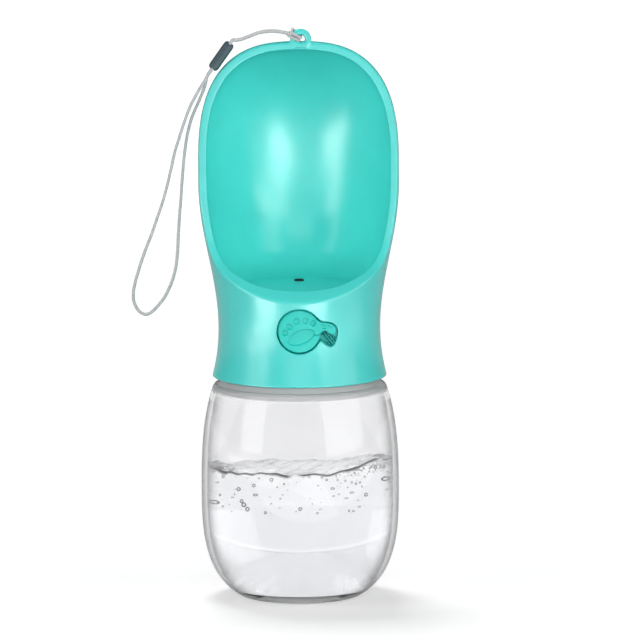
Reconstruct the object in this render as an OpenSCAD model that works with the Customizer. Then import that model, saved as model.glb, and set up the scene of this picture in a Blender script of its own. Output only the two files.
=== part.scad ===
// Travel water bottle with a drinking trough for dogs. Sizes in millimetres, +Z up,
// the trough opens towards -Y, origin at the centre of the bottle's foot.

/* [Bottle] */
// outer radius of the bottle at its widest
bottle_radius = 35.4; // [34.6:0.1:36]
// height of the ledge that the head closes on
ledge_height = 77.2; // [74:0.2:82]
// height of the bottle's widest level
belly_height = 40; // [36:0.5:44]
// thickness of the bottle's side wall
bottle_wall = 2.2; // [1.6:0.1:2.6]
// outer radius of the neck under its thread
neck_radius = 23.4; // [23.2:0.1:23.6]
// thickness of the neck's wall
neck_wall = 2.2; // [1.6:0.1:2.8]
// height of the neck above the ledge
neck_height = 9; // [8.6:0.1:9.3]

/* [Thread] */
// rise of the head in one turn
thread_lead = 4; // [3.8:0.1:4.2]
// radial height of the thread on the neck
thread_height = 1.5; // [1.2:0.1:1.6]

/* [Closing seal] */
// height of the seal band that shows between bottle and head
band_height = 2.5; // [2:0.1:3]
// outer radius of the seal band
band_radius = 28.7; // [28.3:0.1:28.7]
// inner radius of the seal band
band_inner_radius = 25.2; // [25.1:0.1:25.6]

/* [Head] */
// half of the head's greatest width
head_half_width = 36; // [35:0.1:36.4]
// height of the head above its lower edge
head_height = 120.8; // [117:0.2:125]
// depth of the head behind the bottle's axis
head_depth = 34; // [32:0.2:36]
// radius of the head's waist
waist_radius = 29; // [28.9:0.1:29.6]
// radius of the head's lower edge
skirt_radius = 31.3; // [30.6:0.1:32]
// thickness of the trough's wall
trough_wall = 2.7; // [2.2:0.1:3.2]
// height of the trough's floor above the head's lower edge
trough_floor = 33.5; // [33:0.1:34.5]
// slope of the trough's front lip, in degrees
lip_slope = 31.5; // [29:0.5:34]
// lean of the upper rim, in degrees
rim_lean = 3.6; // [2.6:0.1:4.2]
// radius of the bend between lip and upper rim
rim_bend = 17; // [13:0.5:21]
// radius of the outlet hole in the trough's floor
outlet_radius = 1.8; // [1.5:0.1:2]

/* [Eyelet] */
// radius of the eyelet's centre line
eyelet_radius = 2.65; // [2.6:0.05:2.8]
// radius of the eyelet's wire
eyelet_wire = 1.15; // [1.05:0.05:1.15]

/* [Button] */
// radius of the button
button_radius = 7.7; // [7.4:0.1:7.7]
// free gap round the button
button_gap = 0.4; // [0.3:0.05:0.5]
// depth of the button's face below the head's surface
button_recess = 0.7; // [0.5:0.1:0.9]
// thickness of the button's tail
tail_thickness = 1.4; // [1.1:0.1:1.5]
// depth of the paw print
paw_depth = 0.5; // [0.3:0.1:0.7]

/* [Valve] */
// radius of the valve stem
stem_radius = 1.75; // [1.6:0.05:1.8]
// radial clearance of the stem in its bores
stem_clearance = 0.05; // [0.03:0.01:0.08]
// outer radius of the valve's housing
housing_radius = 6.5; // [6.2:0.1:6.6]
// radius of the front chamber and of the valve's seat
seat_radius = 3.2; // [3:0.1:3.4]
// radius of the spring's chamber
chamber_radius = 5; // [4.8:0.1:5.2]
// position of the outlet behind the bottle's axis
outlet_y = 6.4; // [6:0.1:6.6]

/* [Spring] */
// radius of the return spring's wire
spring_wire = 0.3; // [0.25:0.05:0.35]
// radius of the return spring's coil
spring_radius = 3; // [2.6:0.1:3.4]
// turns of the return spring
spring_turns = 7; // [5:1:7]

/* [Wrist strap] */
// radius of the strap's cord
cord_radius = 0.6; // [0.5:0.02:0.6]
// length of the cord lock
lock_length = 11.9; // [10:0.1:12]
// radius of the cord lock
lock_radius = 1.9; // [1.8:0.05:2]
// free gap round the cord in its lock
lock_gap = 0.1; // [0.06:0.01:0.15]

/* [Hidden] */
$fn = 72;
collar_z = ledge_height + band_height;
shoulder_reach = 1.64 * (ledge_height - belly_height);
side_levels = concat([5.5, 8.5, 12.5, 18, 25], [for (i = [0 : 5]) 32 + i * (ledge_height - 40.2) / 5]);
band_seat = 0.8;
band_clearance = 0.1;
// collar and mechanism bay, heights above the head's lower edge
waist_h = 17.3;
bay_radius = 26.9;
bay_ledge_h = 10.6;
bay_upper_radius = 25.2;
bay_shoulder_h = 27.3;
bay_roof_h = trough_floor - 2.6;
bay_roof_radius = 22;
// trough and head outline
swell_h = 70.3;
wide_h = 76.1;
crown_power = 2.67;
crown_steps = 11;
crown_sweep = 86.5;
back_h = 55.3;
thin_h = 48.3;
floor_fillet_h = trough_floor + 1.9;
lip_point = [-20.5, 36.6];
rim_point = [-7, 55.3];
loft_sides = 48;
// valve, along Y at the height of the button
button_h = 20.1;
press_travel = 3;
housing_front = -14;
housing_rear = 21.6;
disc_h = 7.1;
disc_top_h = 9.1;
disc_radius = 26.6;
seat_y = 9;
poppet_thickness = 1.4;
poppet_radius = 4.4;
flange_rear = seat_y + poppet_thickness + 1.2;
spring_end = 20;
inlet_y = 14;
inlet_radius = 2.5;
spout_radius = 3.4;
grommet_height = 2;
chamber_front = -9;
gland_depth = 1.1;
gland_sleeve = 0.5;
gland_radius = stem_radius + stem_clearance + 1.1;
cap_gasket = 0.4;
cap_thickness = 1.4;
// button
face_radius = waist_radius - button_recess;
tail_face_radius = face_radius + 0.5;
button_back = -26;
hub_radius = 3.7;
hub_end = -19.4;
hub_clearance = 0.3;
stem_tip = -26.2;
well_floor_y = -22.5;
well_back_y = -21.3;
well_wall = 1.2;
pocket_floor_y = -20.3;
clip_front = -19.3;
clip_thickness = 0.7;
clip_groove_radius = 1.2;
clip_clearance = 0.05;
tail_outline = [
    [5, 3.5], [6.2, 4.4], [7.1, 3.6], [8, 3.15], [9.2, 3.05], [10.6, 2.85], [12, 2.15],
    [13, 1.1], [13.25, 0.1], [13.05, -0.8], [12.4, -1.4], [11.6, -1.5], [10.5, -1],
    [9.8, -0.2], [9, 0.1], [8.1, -0.2], [7.4, -1.2], [5, -1.5]
];
pocket_outline = [
    [5, 4.5], [6.4, 4.9], [7.4, 4], [8.3, 3.55], [9.3, 3.45], [10.8, 3.25], [12.3, 2.5],
    [13.4, 1.4], [13.75, 0], [13.7, -1.6], [13.3, -3.2], [12.6, -4.9], [11.6, -5.7],
    [10.4, -5.6], [9.2, -4.7], [8, -3.6], [5, -3]
];
rib_count = 4;
rib_slope = 52;
rib_pitch = 0.9;
toes = [[-5.2, -0.2], [-3.65, 2.05], [-1.2, 3.75], [1.95, 4.05], [4.7, 3.2]];
// strap, x and z from the centre of the eyelet
eyelet = [1, -1.9, collar_z + head_height + 1];
strand_gap = 0.1;
strand_offset = cord_radius + strand_gap;
knot_angle = 145;
knot_turns = 2;
knot_pitch = 1.3;
lock_lean = 35.2;
lock_mid = [-28.4, -5.9];
lock_run = 2.4;
run_points = [
    [-4.4, 2.1], [-7.6, 2.8], [-11.1, 3], [-14.7, 2.5], [-18.3, 1.2], [-21, 0.2], [-23, -0.2]
];
loop_points = [
    [-34.4, -14.8], [-36.2, -17.6], [-38, -20.8], [-40, -24.9], [-41.6, -29.2],
    [-43.5, -34.9], [-45.3, -40.8], [-46.6, -46.6], [-48, -52.4], [-49.6, -58.2],
    [-51.6, -64], [-53.6, -69.8], [-55.9, -75.6], [-57.9, -81.4], [-59.6, -87.2],
    [-60.3, -90.6], [-60.3, -93.8], [-59.4, -96.5], [-57.8, -98.4], [-55.8, -99.1],
    [-53.8, -98.2], [-51.6, -96], [-49.3, -93], [-47.6, -89.8], [-46.2, -86.3],
    [-45, -81.4], [-44.4, -75.6], [-44.1, -69.8], [-43.7, -64], [-43.2, -58.2],
    [-42.8, -52.4], [-42.3, -46.6], [-41.7, -40.8], [-40.8, -34.9], [-39.4, -29.2],
    [-38, -25.6], [-36.4, -22], [-34.8, -18.2], [-34, -15.6]
];

// ---- outlines ----

function unit(v) = v / norm(v);

function ease(h, h0, h1, v0, v1) =
    v0 + (v1 - v0) * (1 - cos(180 * min(1, max(0, (h - h0) / (h1 - h0))))) / 2;

function crown(h, from, to, v, power) =
    v * pow(1 - pow(max(0, (h - from) / (to - from)), power), 1 / power);

function half_width(h) = h < wide_h
    ? ease(h, waist_h, swell_h, waist_radius, head_half_width)
    : crown(h, wide_h, head_height, head_half_width, crown_power);

function back_depth(h) = h < back_h
    ? ease(h, waist_h, back_h, waist_radius, head_depth)
    : crown(h, back_h, head_height, head_depth, 2);

function wall_at(h) = trough_wall + 2.43 * pow(max(0, thin_h - h) / 12.9, 2);

function inner_half_width(h) = h < wide_h
    ? half_width(h) - wall_at(h)
    : crown(h, wide_h, head_height - trough_wall, head_half_width - trough_wall, crown_power);

function inner_back_depth(h) = h < back_h
    ? back_depth(h) - wall_at(h)
    : crown(h, back_h, head_height - trough_wall, head_depth - trough_wall, 2);

// heights from the widest level up to b, closer together towards b
function crown_heights(b) = [for (i = [1 : crown_steps])
    wide_h + (b - wide_h) * pow(sin(crown_sweep * i / crown_steps), 0.75)];

function head_rings() = concat(
    [[waist_h, waist_radius - 0.02, waist_radius - 0.02]],
    [for (h = [21, 25, 29.5, 34, 38.5, 43.5, 49, back_h, 61.5, swell_h, wide_h])
        [h, half_width(h), back_depth(h)]],
    [for (h = crown_heights(head_height)) [h, half_width(h), back_depth(h)]]
);

function trough_rings() = let (
    w = inner_half_width(floor_fillet_h),
    d = inner_back_depth(floor_fillet_h)
) concat(
    [[trough_floor, w - 2.8, d - 2.8], [trough_floor + 0.3, w - 1.5, d - 1.5],
        [trough_floor + 1, w - 0.55, d - 0.55]],
    [for (h = [floor_fillet_h, 38.5, 43.5, 49, back_h, 61.5, swell_h, wide_h])
        [h, inner_half_width(h), inner_back_depth(h)]],
    [for (h = crown_heights(head_height - trough_wall))
        [h, inner_half_width(h), inner_back_depth(h)]]
);

// closed solid through rings [h, half width and front depth, back depth] up to a point
module loft(rings, top) {
    n = loft_sides;
    m = len(rings);
    points = concat(
        [for (r = rings) for (i = [0 : n - 1]) let (a = 360 * (i + 0.5) / n)
            [r[1] * cos(a), (sin(a) < 0 ? r[1] : r[2]) * sin(a), r[0]]],
        [[0, 0, top]]
    );
    sides = [for (k = [0 : m - 2]) for (i = [0 : n - 1]) let (
        a = k * n + i, b = k * n + (i + 1) % n)
        each [[a, a + n, b + n], [a, b + n, b]]];
    lid = [for (i = [0 : n - 1]) [(m - 1) * n + i, m * n, (m - 1) * n + (i + 1) % n]];
    polyhedron(points, concat([[for (i = [0 : n - 1]) i]], sides, lid));
}

// solid tube through points, its sides set square to the direction up
module tube(points, up, r, sides) {
    m = len(points);
    rings = [for (k = [0 : m - 1]) let (
        t = unit(points[min(m - 1, k + 1)] - points[max(0, k - 1)]),
        s = unit(cross(t, up)),
        u = cross(s, t)
    ) for (i = [0 : sides - 1]) let (a = 360 * (i + 0.5) / sides)
        points[k] + r * (cos(a) * s + sin(a) * u)];
    walls = [for (k = [0 : m - 2]) for (i = [0 : sides - 1]) let (
        a = k * sides + i, b = k * sides + (i + 1) % sides)
        each [[a, b, b + sides], [a, b + sides, a + sides]]];
    polyhedron(rings, concat(
        [[for (i = [sides - 1 : -1 : 0]) i]],
        walls,
        [[for (i = [0 : sides - 1]) (m - 1) * sides + i]]
    ));
}

// screw thread from radius r0, buried in its wall, to r1, with flanks w0 and w1 wide
module thread(r0, r1, w0, w1, z, start, turns) {
    steps = round(turns * 24);
    points = [for (i = [0 : steps]) let (
        a = start + i * 15,
        c = z + thread_lead * i / 24,
        f = min(1, min(i, steps - i) / 2 + 0.1),
        r = r0 + (r1 - r0) * f
    ) each [for (q = [[r0, -w0], [r, -w1], [r, w1], [r0, w0]])
        [q[0] * cos(a), q[0] * sin(a), c + q[1] / 2]]];
    walls = [for (k = [0 : steps - 1]) for (i = [0 : 3]) let (
        a = k * 4 + i, b = k * 4 + (i + 1) % 4, flip = r1 < r0)
        each flip ? [[a, b + 4, b], [a, a + 4, b + 4]] : [[a, b, b + 4], [a, b + 4, a + 4]]];
    last = steps * 4;
    ends = r1 < r0
        ? [[0, 1, 2, 3], [last + 3, last + 2, last + 1, last]]
        : [[3, 2, 1, 0], [last, last + 1, last + 2, last + 3]];
    polyhedron(points, concat(walls, ends));
}

module along_y(y = 0) {
    translate([0, y, collar_z + button_h])
        rotate([-90, 0, 0])
            children();
}

// flat outline in x and z, measured from the button's centre, drawn out along Y
module front_prism(points, y0, y1) {
    translate([0, y1, collar_z + button_h])
        rotate([90, 0, 0])
            linear_extrude(y1 - y0)
                polygon(points);
}

module torus(major, minor) {
    rotate_extrude()
        translate([major, 0])
            circle(minor, $fn = 24);
}

module ring(outer, inner, height) {
    difference() {
        cylinder(r = outer, h = height);
        translate([0, 0, -1])
            cylinder(r = inner, h = height + 2);
    }
}

// ---- bottle ----

function side_radius(z) = z < belly_height
    ? bottle_radius * pow(1 - pow((belly_height - z) / (belly_height + 3), 3), 1 / 3)
    : bottle_radius * pow(1 - pow((z - belly_height) / shoulder_reach, 2.5), 0.4);

module bottle() {
    top = ledge_height + neck_height;
    shoulder = side_radius(ledge_height - 1.6);
    neck_inner = neck_radius - neck_wall;
    outside = concat(
        [[0, 1.8], [8.6, 1.5], [13.4, 0.4], [14.3, 0]],
        [for (z = concat([0, 0.6, 1.6, 3.2], side_levels)) [side_radius(z), z]],
        [[side_radius(ledge_height - 4.5), ledge_height - 4.5],
            [shoulder, ledge_height - 1.6],
            [shoulder - 0.5, ledge_height - 0.6],
            [shoulder - 1.6, ledge_height],
            [neck_radius, ledge_height], [neck_radius, top - 0.5], [neck_radius - 0.5, top]]
    );
    inside = concat(
        [[neck_inner + 0.4, top], [neck_inner, top - 0.4], [neck_inner, ledge_height - 3]],
        [for (i = [len(side_levels) - 1 : -1 : 0])
            [side_radius(side_levels[i]) - bottle_wall, side_levels[i]]],
        [[22.6, 3.4], [18.4, 2.6], [14.3, 2.5], [8.6, 3.8], [0, 4]]
    );
    color([0.92, 0.93, 0.94, 0.5])
        union() {
            rotate_extrude()
                polygon(concat(outside, inside));
            thread(neck_radius - 0.5, neck_radius + thread_height, 2.4, 1, ledge_height + 2.2, 0, 1.375);
        }
}

module seal_ring() {
    height = band_height + band_seat;
    color([0.75, 0.78, 0.78])
        translate([0, 0, ledge_height])
            rotate_extrude()
                polygon([
                    [band_inner_radius, 0.3], [band_inner_radius + 0.3, 0],
                    [band_radius, 0], [band_radius, height],
                    [band_inner_radius + 0.3, height], [band_inner_radius, height - 0.3]
                ]);
}

// ---- head ----

module collar() {
    side = [for (h = [0, 2.3, 5.3, 8.3, 11.3, 14.3, waist_h])
        [waist_radius + (skirt_radius - waist_radius) * pow((waist_h - h) / waist_h, 2), h]];
    rotate_extrude()
        polygon(concat([[0, 0]], side, [[0, waist_h]]));
}

// everything in front of the rim, seen from the side as a J
module rim_cut() {
    n1 = [-sin(lip_slope), cos(lip_slope)];
    n2 = [-cos(rim_lean), sin(rim_lean)];
    b1 = n1 * lip_point + rim_bend;
    b2 = n2 * rim_point + rim_bend;
    det = n1[0] * n2[1] - n1[1] * n2[0];
    mid = [(b1 * n2[1] - n1[1] * b2) / det, (n1[0] * b2 - n2[0] * b1) / det];
    bend = [for (i = [0 : 8]) let (a = 90 + lip_slope + (90 - rim_lean - lip_slope) * i / 8)
        mid - rim_bend * [cos(a), sin(a)]];
    far = bend[0] - 2 * waist_radius * [cos(lip_slope), sin(lip_slope)];
    high = bend[8] + head_height * [tan(rim_lean), 1];
    rotate([90, 0, 90])
        linear_extrude(4 * head_half_width, center = true)
            polygon(concat([far], bend, [high, [far[0], high[1]]]));
}

module bay() {
    translate([0, 0, -1])
        cylinder(r = bay_radius, h = bay_ledge_h + 1);
    translate([0, 0, -1])
        cylinder(r = band_radius + band_clearance, h = band_seat + 1);
    cylinder(r = bay_upper_radius, h = bay_shoulder_h);
    translate([0, 0, bay_shoulder_h - 0.01])
        cylinder(r1 = bay_upper_radius, r2 = bay_roof_radius, h = bay_roof_h - bay_shoulder_h + 0.01);
}

module head_shell() {
    well = button_radius + button_gap;
    color([0.43, 0.88, 0.86])
        difference() {
            union() {
                translate([0, 0, collar_z])
                    difference() {
                        union() {
                            collar();
                            difference() {
                                loft(head_rings(), head_height);
                                loft(trough_rings(), head_height - trough_wall);
                                rim_cut();
                            }
                        }
                        bay();
                    }
                along_y(-27)
                    cylinder(r = well + well_wall, h = 27 + well_back_y);
                translate([6, -24.2, collar_z + button_h - 7])
                    cube([9, 24.2 + pocket_floor_y + 1.2, 11.8]);
                translate(eyelet)
                    rotate([90, 0, 0])
                        torus(eyelet_radius, eyelet_wire);
            }
            along_y(-40)
                cylinder(r = well, h = 40 + well_floor_y);
            along_y(-30)
                cylinder(r = hub_radius + hub_clearance, h = 30);
            difference() {
                front_prism(pocket_outline, -40, pocket_floor_y);
                for (i = [0 : rib_count - 1])
                    translate([10.6, pocket_floor_y, collar_z + button_h - 3])
                        rotate([0, rib_slope, 0])
                            translate([0, 0, (i - (rib_count - 1) / 2) * rib_pitch])
                                cube([7, 0.8, 0.4], center = true);
            }
            translate([0, outlet_y, collar_z + bay_roof_h - 1])
                cylinder(r = outlet_radius, h = 6);
        }
}

module threaded_ring() {
    low = band_seat + 0.2;
    root = neck_radius + thread_height + 0.4;
    color([0.36, 0.8, 0.78])
        translate([0, 0, collar_z])
            union() {
                translate([0, 0, low])
                    ring(bay_radius, root, disc_h - low);
                thread(root + 0.5, root - thread_height + 0.2, 2.4, 1, 2.2, 45, 0.875);
            }
}

// ---- valve ----

module valve_housing() {
    axis_h = collar_z + button_h;
    color([0.9, 0.91, 0.92])
        difference() {
            union() {
                translate([0, 0, collar_z + disc_h])
                    cylinder(r = disc_radius, h = disc_top_h - disc_h);
                translate([0, 0, collar_z + disc_top_h - 0.2])
                    ring(25, 23.8, 1.3);
                along_y(housing_front)
                    cylinder(r = housing_radius, h = housing_rear - housing_front);
                translate([0, inlet_y, collar_z + disc_top_h - 0.5])
                    cylinder(r = 4.6, h = 8);
                translate([-1.6, -13, collar_z + disc_top_h - 0.5])
                    cube([3.2, 5, 6.5]);
                translate([0, outlet_y, axis_h + 4])
                    cylinder(r = spout_radius, h = bay_roof_h - grommet_height - button_h - 4);
            }
            along_y(chamber_front)
                cylinder(r = seat_radius, h = seat_y - chamber_front + 0.1);
            along_y(seat_y)
                cylinder(r = chamber_radius, h = 30);
            along_y(housing_front - 1)
                cylinder(r = stem_radius + stem_clearance, h = 8);
            along_y(housing_front - 1)
                cylinder(r = gland_radius, h = 1 + gland_sleeve + gland_depth);
            translate([0, inlet_y, collar_z + disc_h - 1])
                cylinder(r = inlet_radius, h = button_h - disc_h);
            translate([0, outlet_y, axis_h + 1])
                cylinder(r = outlet_radius, h = 12);
        }
}

module housing_seal() {
    color([0.82, 0.84, 0.84])
        translate([0, 0, collar_z + (disc_top_h + bay_ledge_h) / 2])
            torus((bay_upper_radius + bay_radius) / 2 - 0.1, (bay_ledge_h - disc_top_h) / 2);
}

module outlet_grommet() {
    color([0.82, 0.84, 0.84])
        translate([0, outlet_y, collar_z + bay_roof_h - grommet_height])
            ring(spout_radius, outlet_radius, grommet_height);
}

module gland_ring() {
    color([0.9, 0.91, 0.92])
        difference() {
            union() {
                along_y(housing_front - 1)
                    cylinder(r = 4.5, h = 1);
                along_y(housing_front - 0.2)
                    cylinder(r = gland_radius - 0.05, h = 0.2 + gland_sleeve);
            }
            along_y(housing_front - 2)
                cylinder(r = stem_radius + stem_clearance, h = 4);
        }
}

module rod_seal() {
    minor = gland_depth / 2;
    color([0.2, 0.2, 0.22])
        along_y(housing_front + gland_sleeve + minor)
            torus(stem_radius + stem_clearance + minor, minor);
}

module valve_stem() {
    groove = clip_front - clip_clearance;
    color([0.9, 0.91, 0.92])
        along_y()
            rotate_extrude()
                polygon([
                    [0, stem_tip], [stem_radius - 0.3, stem_tip], [stem_radius, stem_tip + 0.3],
                    [stem_radius, groove], [clip_groove_radius, groove],
                    [clip_groove_radius, groove + clip_thickness + 2 * clip_clearance],
                    [stem_radius, groove + clip_thickness + 2 * clip_clearance],
                    [stem_radius, seat_y + poppet_thickness],
                    [poppet_radius - 0.2, seat_y + poppet_thickness],
                    [poppet_radius - 0.2, flange_rear],
                    [1.5, flange_rear], [1.5, 16.2], [1.2, 16.5], [0, 16.5]
                ]);
}

module poppet_seal() {
    color([0.2, 0.2, 0.22])
        along_y(seat_y)
            ring(poppet_radius, stem_radius + 0.02, poppet_thickness);
}

module return_spring() {
    steps = spring_turns * 12;
    low = flange_rear + spring_wire;
    high = spring_end - spring_wire;
    pitch = (high - low) / spring_turns;
    echo(spring_gap = pitch - 2 * spring_wire);
    color([0.7, 0.71, 0.73])
        translate([0, 0, collar_z + button_h])
            tube([for (i = [0 : steps]) let (a = i * 30)
                [spring_radius * cos(a), low + (high - low) * i / steps, spring_radius * sin(a)]],
                [0, 1, 0], spring_wire, 6);
}

module spring_cap() {
    color([0.9, 0.91, 0.92])
        difference() {
            union() {
                along_y(spring_end)
                    cylinder(r = chamber_radius - 0.05, h = 3);
                along_y(housing_rear + cap_gasket)
                    cylinder(r = housing_radius - 0.2, h = cap_thickness);
            }
            translate([-4, housing_rear + cap_gasket + cap_thickness - 0.6, collar_z + button_h - 0.5])
                cube([8, 2, 1]);
        }
}

module cap_seal() {
    color([0.82, 0.84, 0.84])
        along_y(housing_rear)
            ring(housing_radius - 0.2, chamber_radius, cap_gasket);
}

// ---- button ----

module paw() {
    for (t = toes)
        translate([t[0], t[1]])
            circle(0.96);
    translate([0.65, -2.05])
        rotate(15)
            polygon([for (i = [0 : 23]) let (a = i * 15)
                [(4.5 - 0.5 * sin(a)) * cos(a), 2.7 * sin(a) + 0.5 * pow(cos(a), 2) * sin(a)]]);
}

module button() {
    color([0.17, 0.82, 0.79])
        difference() {
            union() {
                intersection() {
                    along_y(-32)
                        cylinder(r = button_radius, h = 32 + button_back);
                    translate([0, 0, collar_z])
                        cylinder(r = face_radius, h = 60);
                }
                intersection() {
                    front_prism(tail_outline, -40, -20);
                    translate([0, 0, collar_z + 5])
                        ring(tail_face_radius, tail_face_radius - tail_thickness, 30);
                }
                along_y(button_back - 0.5)
                    cylinder(r = hub_radius, h = hub_end - button_back + 0.5);
            }
            along_y(stem_tip - 0.2)
                cylinder(r = stem_radius + stem_clearance, h = 12);
            difference() {
                translate([0, -20, collar_z + button_h])
                    rotate([90, 0, 0])
                        linear_extrude(20)
                            paw();
                translate([0, 0, collar_z])
                    cylinder(r = face_radius - paw_depth, h = 60);
            }
        }
}

module button_clip() {
    color([0.62, 0.63, 0.65])
        difference() {
            along_y(clip_front)
                cylinder(r = 3.3, h = clip_thickness);
            along_y(clip_front - 1)
                cylinder(r = clip_groove_radius + clip_clearance, h = 3);
            translate([-1, clip_front - 1, collar_z + button_h - 5])
                cube([2, 3, 5]);
            for (side = [-1, 1])
                translate([side * 2.2, 0, 0])
                    along_y(clip_front - 1)
                        cylinder(r = 0.6, h = 3);
        }
}

// ---- wrist strap ----

lock_axis = [sin(lock_lean), cos(lock_lean)];

function on_lock(s) = lock_mid + s * lock_axis;

function strap_path() = let (
    reach = lock_length / 2,
    inside = [on_lock(reach + 0.7), on_lock(reach - 4), on_lock(0), on_lock(4 - reach),
        on_lock(-reach - lock_run)],
    n = len(loop_points),
    front = concat(run_points, inside),
    m = len(front)
) concat(
    [for (p = front) eyelet + [p[0], -strand_offset, p[1]]],
    [for (i = [0 : n - 1]) eyelet
        + [loop_points[i][0], strand_offset * (2 * (i + 1) / (n + 1) - 1), loop_points[i][1]]],
    [for (i = [m - 1 : -1 : 0]) eyelet + [front[i][0], strand_offset, front[i][1]]]
);

module strap_cord() {
    color([0.7, 0.72, 0.73])
        tube(strap_path(), [0, 1, 0], cord_radius, 8);
}

// hitch of the strap round the eyelet, both of its turns side by side in the hole
module strap_knot() {
    out = [cos(knot_angle), 0, sin(knot_angle)];
    axis = [-sin(knot_angle), 0, cos(knot_angle)];
    reach = eyelet_wire + cord_radius + 0.08;
    steps = knot_turns * 14;
    color([0.74, 0.76, 0.77])
        tube([for (i = [0 : steps]) let (
            a = 360 * knot_turns * i / steps,
            r = cos(a) < 0 ? eyelet_radius - 0.35 : reach
        ) eyelet + (eyelet_radius + r * cos(a)) * out + [0, reach * sin(a), 0]
            + (i / steps - 0.5) * knot_turns * knot_pitch * axis],
            axis, cord_radius, 8);
}

module cord_lock() {
    half = lock_length / 2;
    hole = 2 * (cord_radius + lock_gap);
    color([0.2, 0.27, 0.28])
        translate(eyelet + [lock_mid[0], 0, lock_mid[1]])
            rotate([0, lock_lean, 0])
                difference() {
                    rotate_extrude()
                        polygon([
                            [0, -half], [lock_radius - 0.9, -half], [lock_radius - 0.3, -half + 0.25],
                            [lock_radius, -half + 0.9], [lock_radius, half - 0.9],
                            [lock_radius - 0.3, half - 0.25], [lock_radius - 0.9, half], [0, half]
                        ]);
                    cube([hole, 2 * (strand_offset + cord_radius + lock_gap), lock_length + 2],
                        center = true);
                }
}

bottle();
seal_ring();
head_shell();
threaded_ring();
valve_housing();
housing_seal();
outlet_grommet();
gland_ring();
rod_seal();
valve_stem();
poppet_seal();
return_spring();
spring_cap();
cap_seal();
button();
button_clip();
strap_cord();
strap_knot();
cord_lock();
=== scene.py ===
# %% [markdown]
# # A dog's travel water bottle
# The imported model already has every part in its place. This lesson dresses it as the
# photograph shows it: moulded teal plastic, a clear bottle half full of water and a braided
# wrist strap. Lengths are written in millimetres and turned into metres when a mesh is made.

import functools
import itertools
import math

import bpy
import numpy as np
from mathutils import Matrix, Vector


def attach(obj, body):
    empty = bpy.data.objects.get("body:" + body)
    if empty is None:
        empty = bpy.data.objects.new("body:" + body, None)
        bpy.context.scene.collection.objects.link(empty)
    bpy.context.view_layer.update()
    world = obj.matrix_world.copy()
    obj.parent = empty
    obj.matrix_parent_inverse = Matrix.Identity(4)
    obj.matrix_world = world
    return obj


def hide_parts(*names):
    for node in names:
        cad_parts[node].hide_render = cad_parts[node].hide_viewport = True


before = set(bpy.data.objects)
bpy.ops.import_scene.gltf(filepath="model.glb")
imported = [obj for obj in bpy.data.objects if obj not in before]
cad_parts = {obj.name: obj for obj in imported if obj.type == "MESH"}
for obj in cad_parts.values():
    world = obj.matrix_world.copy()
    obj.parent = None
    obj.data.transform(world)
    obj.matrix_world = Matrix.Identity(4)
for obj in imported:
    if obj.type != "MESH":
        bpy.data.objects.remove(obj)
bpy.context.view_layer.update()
MM = 0.001
print("nodes:", sorted(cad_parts))

# %% [markdown]
# ## The camera
# The photograph looks at the front from a little above, through a long lens: upright edges
# stay parallel and the mouth of the trough is a flat ellipse. A wide lens close by would
# bend both, so the camera stands six metres away. Its sensor and lens give 0.358 mm to one
# pixel of a 640 pixel frame. The bottle leans a third of a degree in the picture.

# %% camera
def placed(name, data):
    thing = bpy.data.objects.new(name, data)
    bpy.context.collection.objects.link(thing)
    return thing


AIM = Vector((0.0074, 0, 0.0997))
ELEVATION = math.radians(8.7)
DISTANCE = 6.0
ROLL = math.radians(-0.3)
SENSOR, FOCAL_LENGTH, FRAME = 36, 942, 640

towards_camera = Vector((0, -math.cos(ELEVATION), math.sin(ELEVATION)))
lens = bpy.data.cameras.new("camera")
lens.sensor_width, lens.lens = SENSOR, FOCAL_LENGTH
camera = placed("camera", lens)
camera.location = AIM + DISTANCE * towards_camera
camera.rotation_euler = (-towards_camera).to_track_quat("-Z", "Y").to_euler()
camera.rotation_euler.rotate_axis("Z", ROLL)
bpy.context.scene.camera = camera
bpy.context.scene.view_settings.view_transform = "Standard"
print("one pixel is", round(DISTANCE * SENSOR / FOCAL_LENGTH / FRAME / MM, 3), "mm")

# %% [markdown]
# ## Turning numbers into a mesh
# Every piece below is worked out as arrays of points and faces. These helpers make the object,
# shade it smooth and attach it to the body it moves with. Cord, bottle and water are rows of
# points set in rings, so they share the making of the faces.

# %% helper for mesh pieces
def mesh_of(name, points, faces):
    mesh = bpy.data.meshes.new(name)
    mesh.from_pydata((np.asarray(points) * MM).tolist(), [], [list(map(int, f)) for f in faces])
    return mesh


def apply_modifiers(piece):
    seen = piece.evaluated_get(bpy.context.evaluated_depsgraph_get())
    made = bpy.data.meshes.new_from_object(seen)
    piece.modifiers.clear()
    old, piece.data = piece.data, made
    bpy.data.meshes.remove(old)
    made.name = piece.name


def new_piece(name, points, faces, body, slot, replaced=()):
    piece = placed(name, mesh_of(name, points, faces))
    piece.data.shade_smooth()
    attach(piece, body)
    if replaced:
        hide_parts(*replaced)
    print(name, len(points), "points", len(faces), "faces")
    return piece


def on_rings(radius, angle, height, middle=(0, 0)):
    return np.stack([radius * np.cos(angle) + middle[0], radius * np.sin(angle) + middle[1],
                     height], axis=2).reshape(-1, 3)


def ring_faces(bands, rows, count):
    i = np.arange(count)
    j = (i + 1) % count
    faces = []
    for k in range(bands):
        low, high = k * count, (k + 1) % rows * count
        faces += np.stack([low + i, low + j, high + j, high + i], axis=1).tolist()
    return faces


def capped_faces(rows, count):
    end = (rows - 1) * count
    pairs = [(i, (i + 1) % count) for i in range(count)]
    return (ring_faces(rows - 1, rows, count) + [(rows * count, j, i) for i, j in pairs]
            + [(rows * count + 1, end + i, end + j) for i, j in pairs])

# %% [markdown]
# ## The wrist strap: its route
# The strap is one thin braided cord. It leaves the hitch on the eyelet at the top of the
# head, arches over to the left, passes through the cord lock, hangs down as a long loop and
# comes back up beside itself. The route is the one that the CAD cord follows. The points are
# joined by a Catmull-Rom curve, which passes through each of them, and are then spaced
# evenly, so that the braid keeps one size all along.

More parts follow.
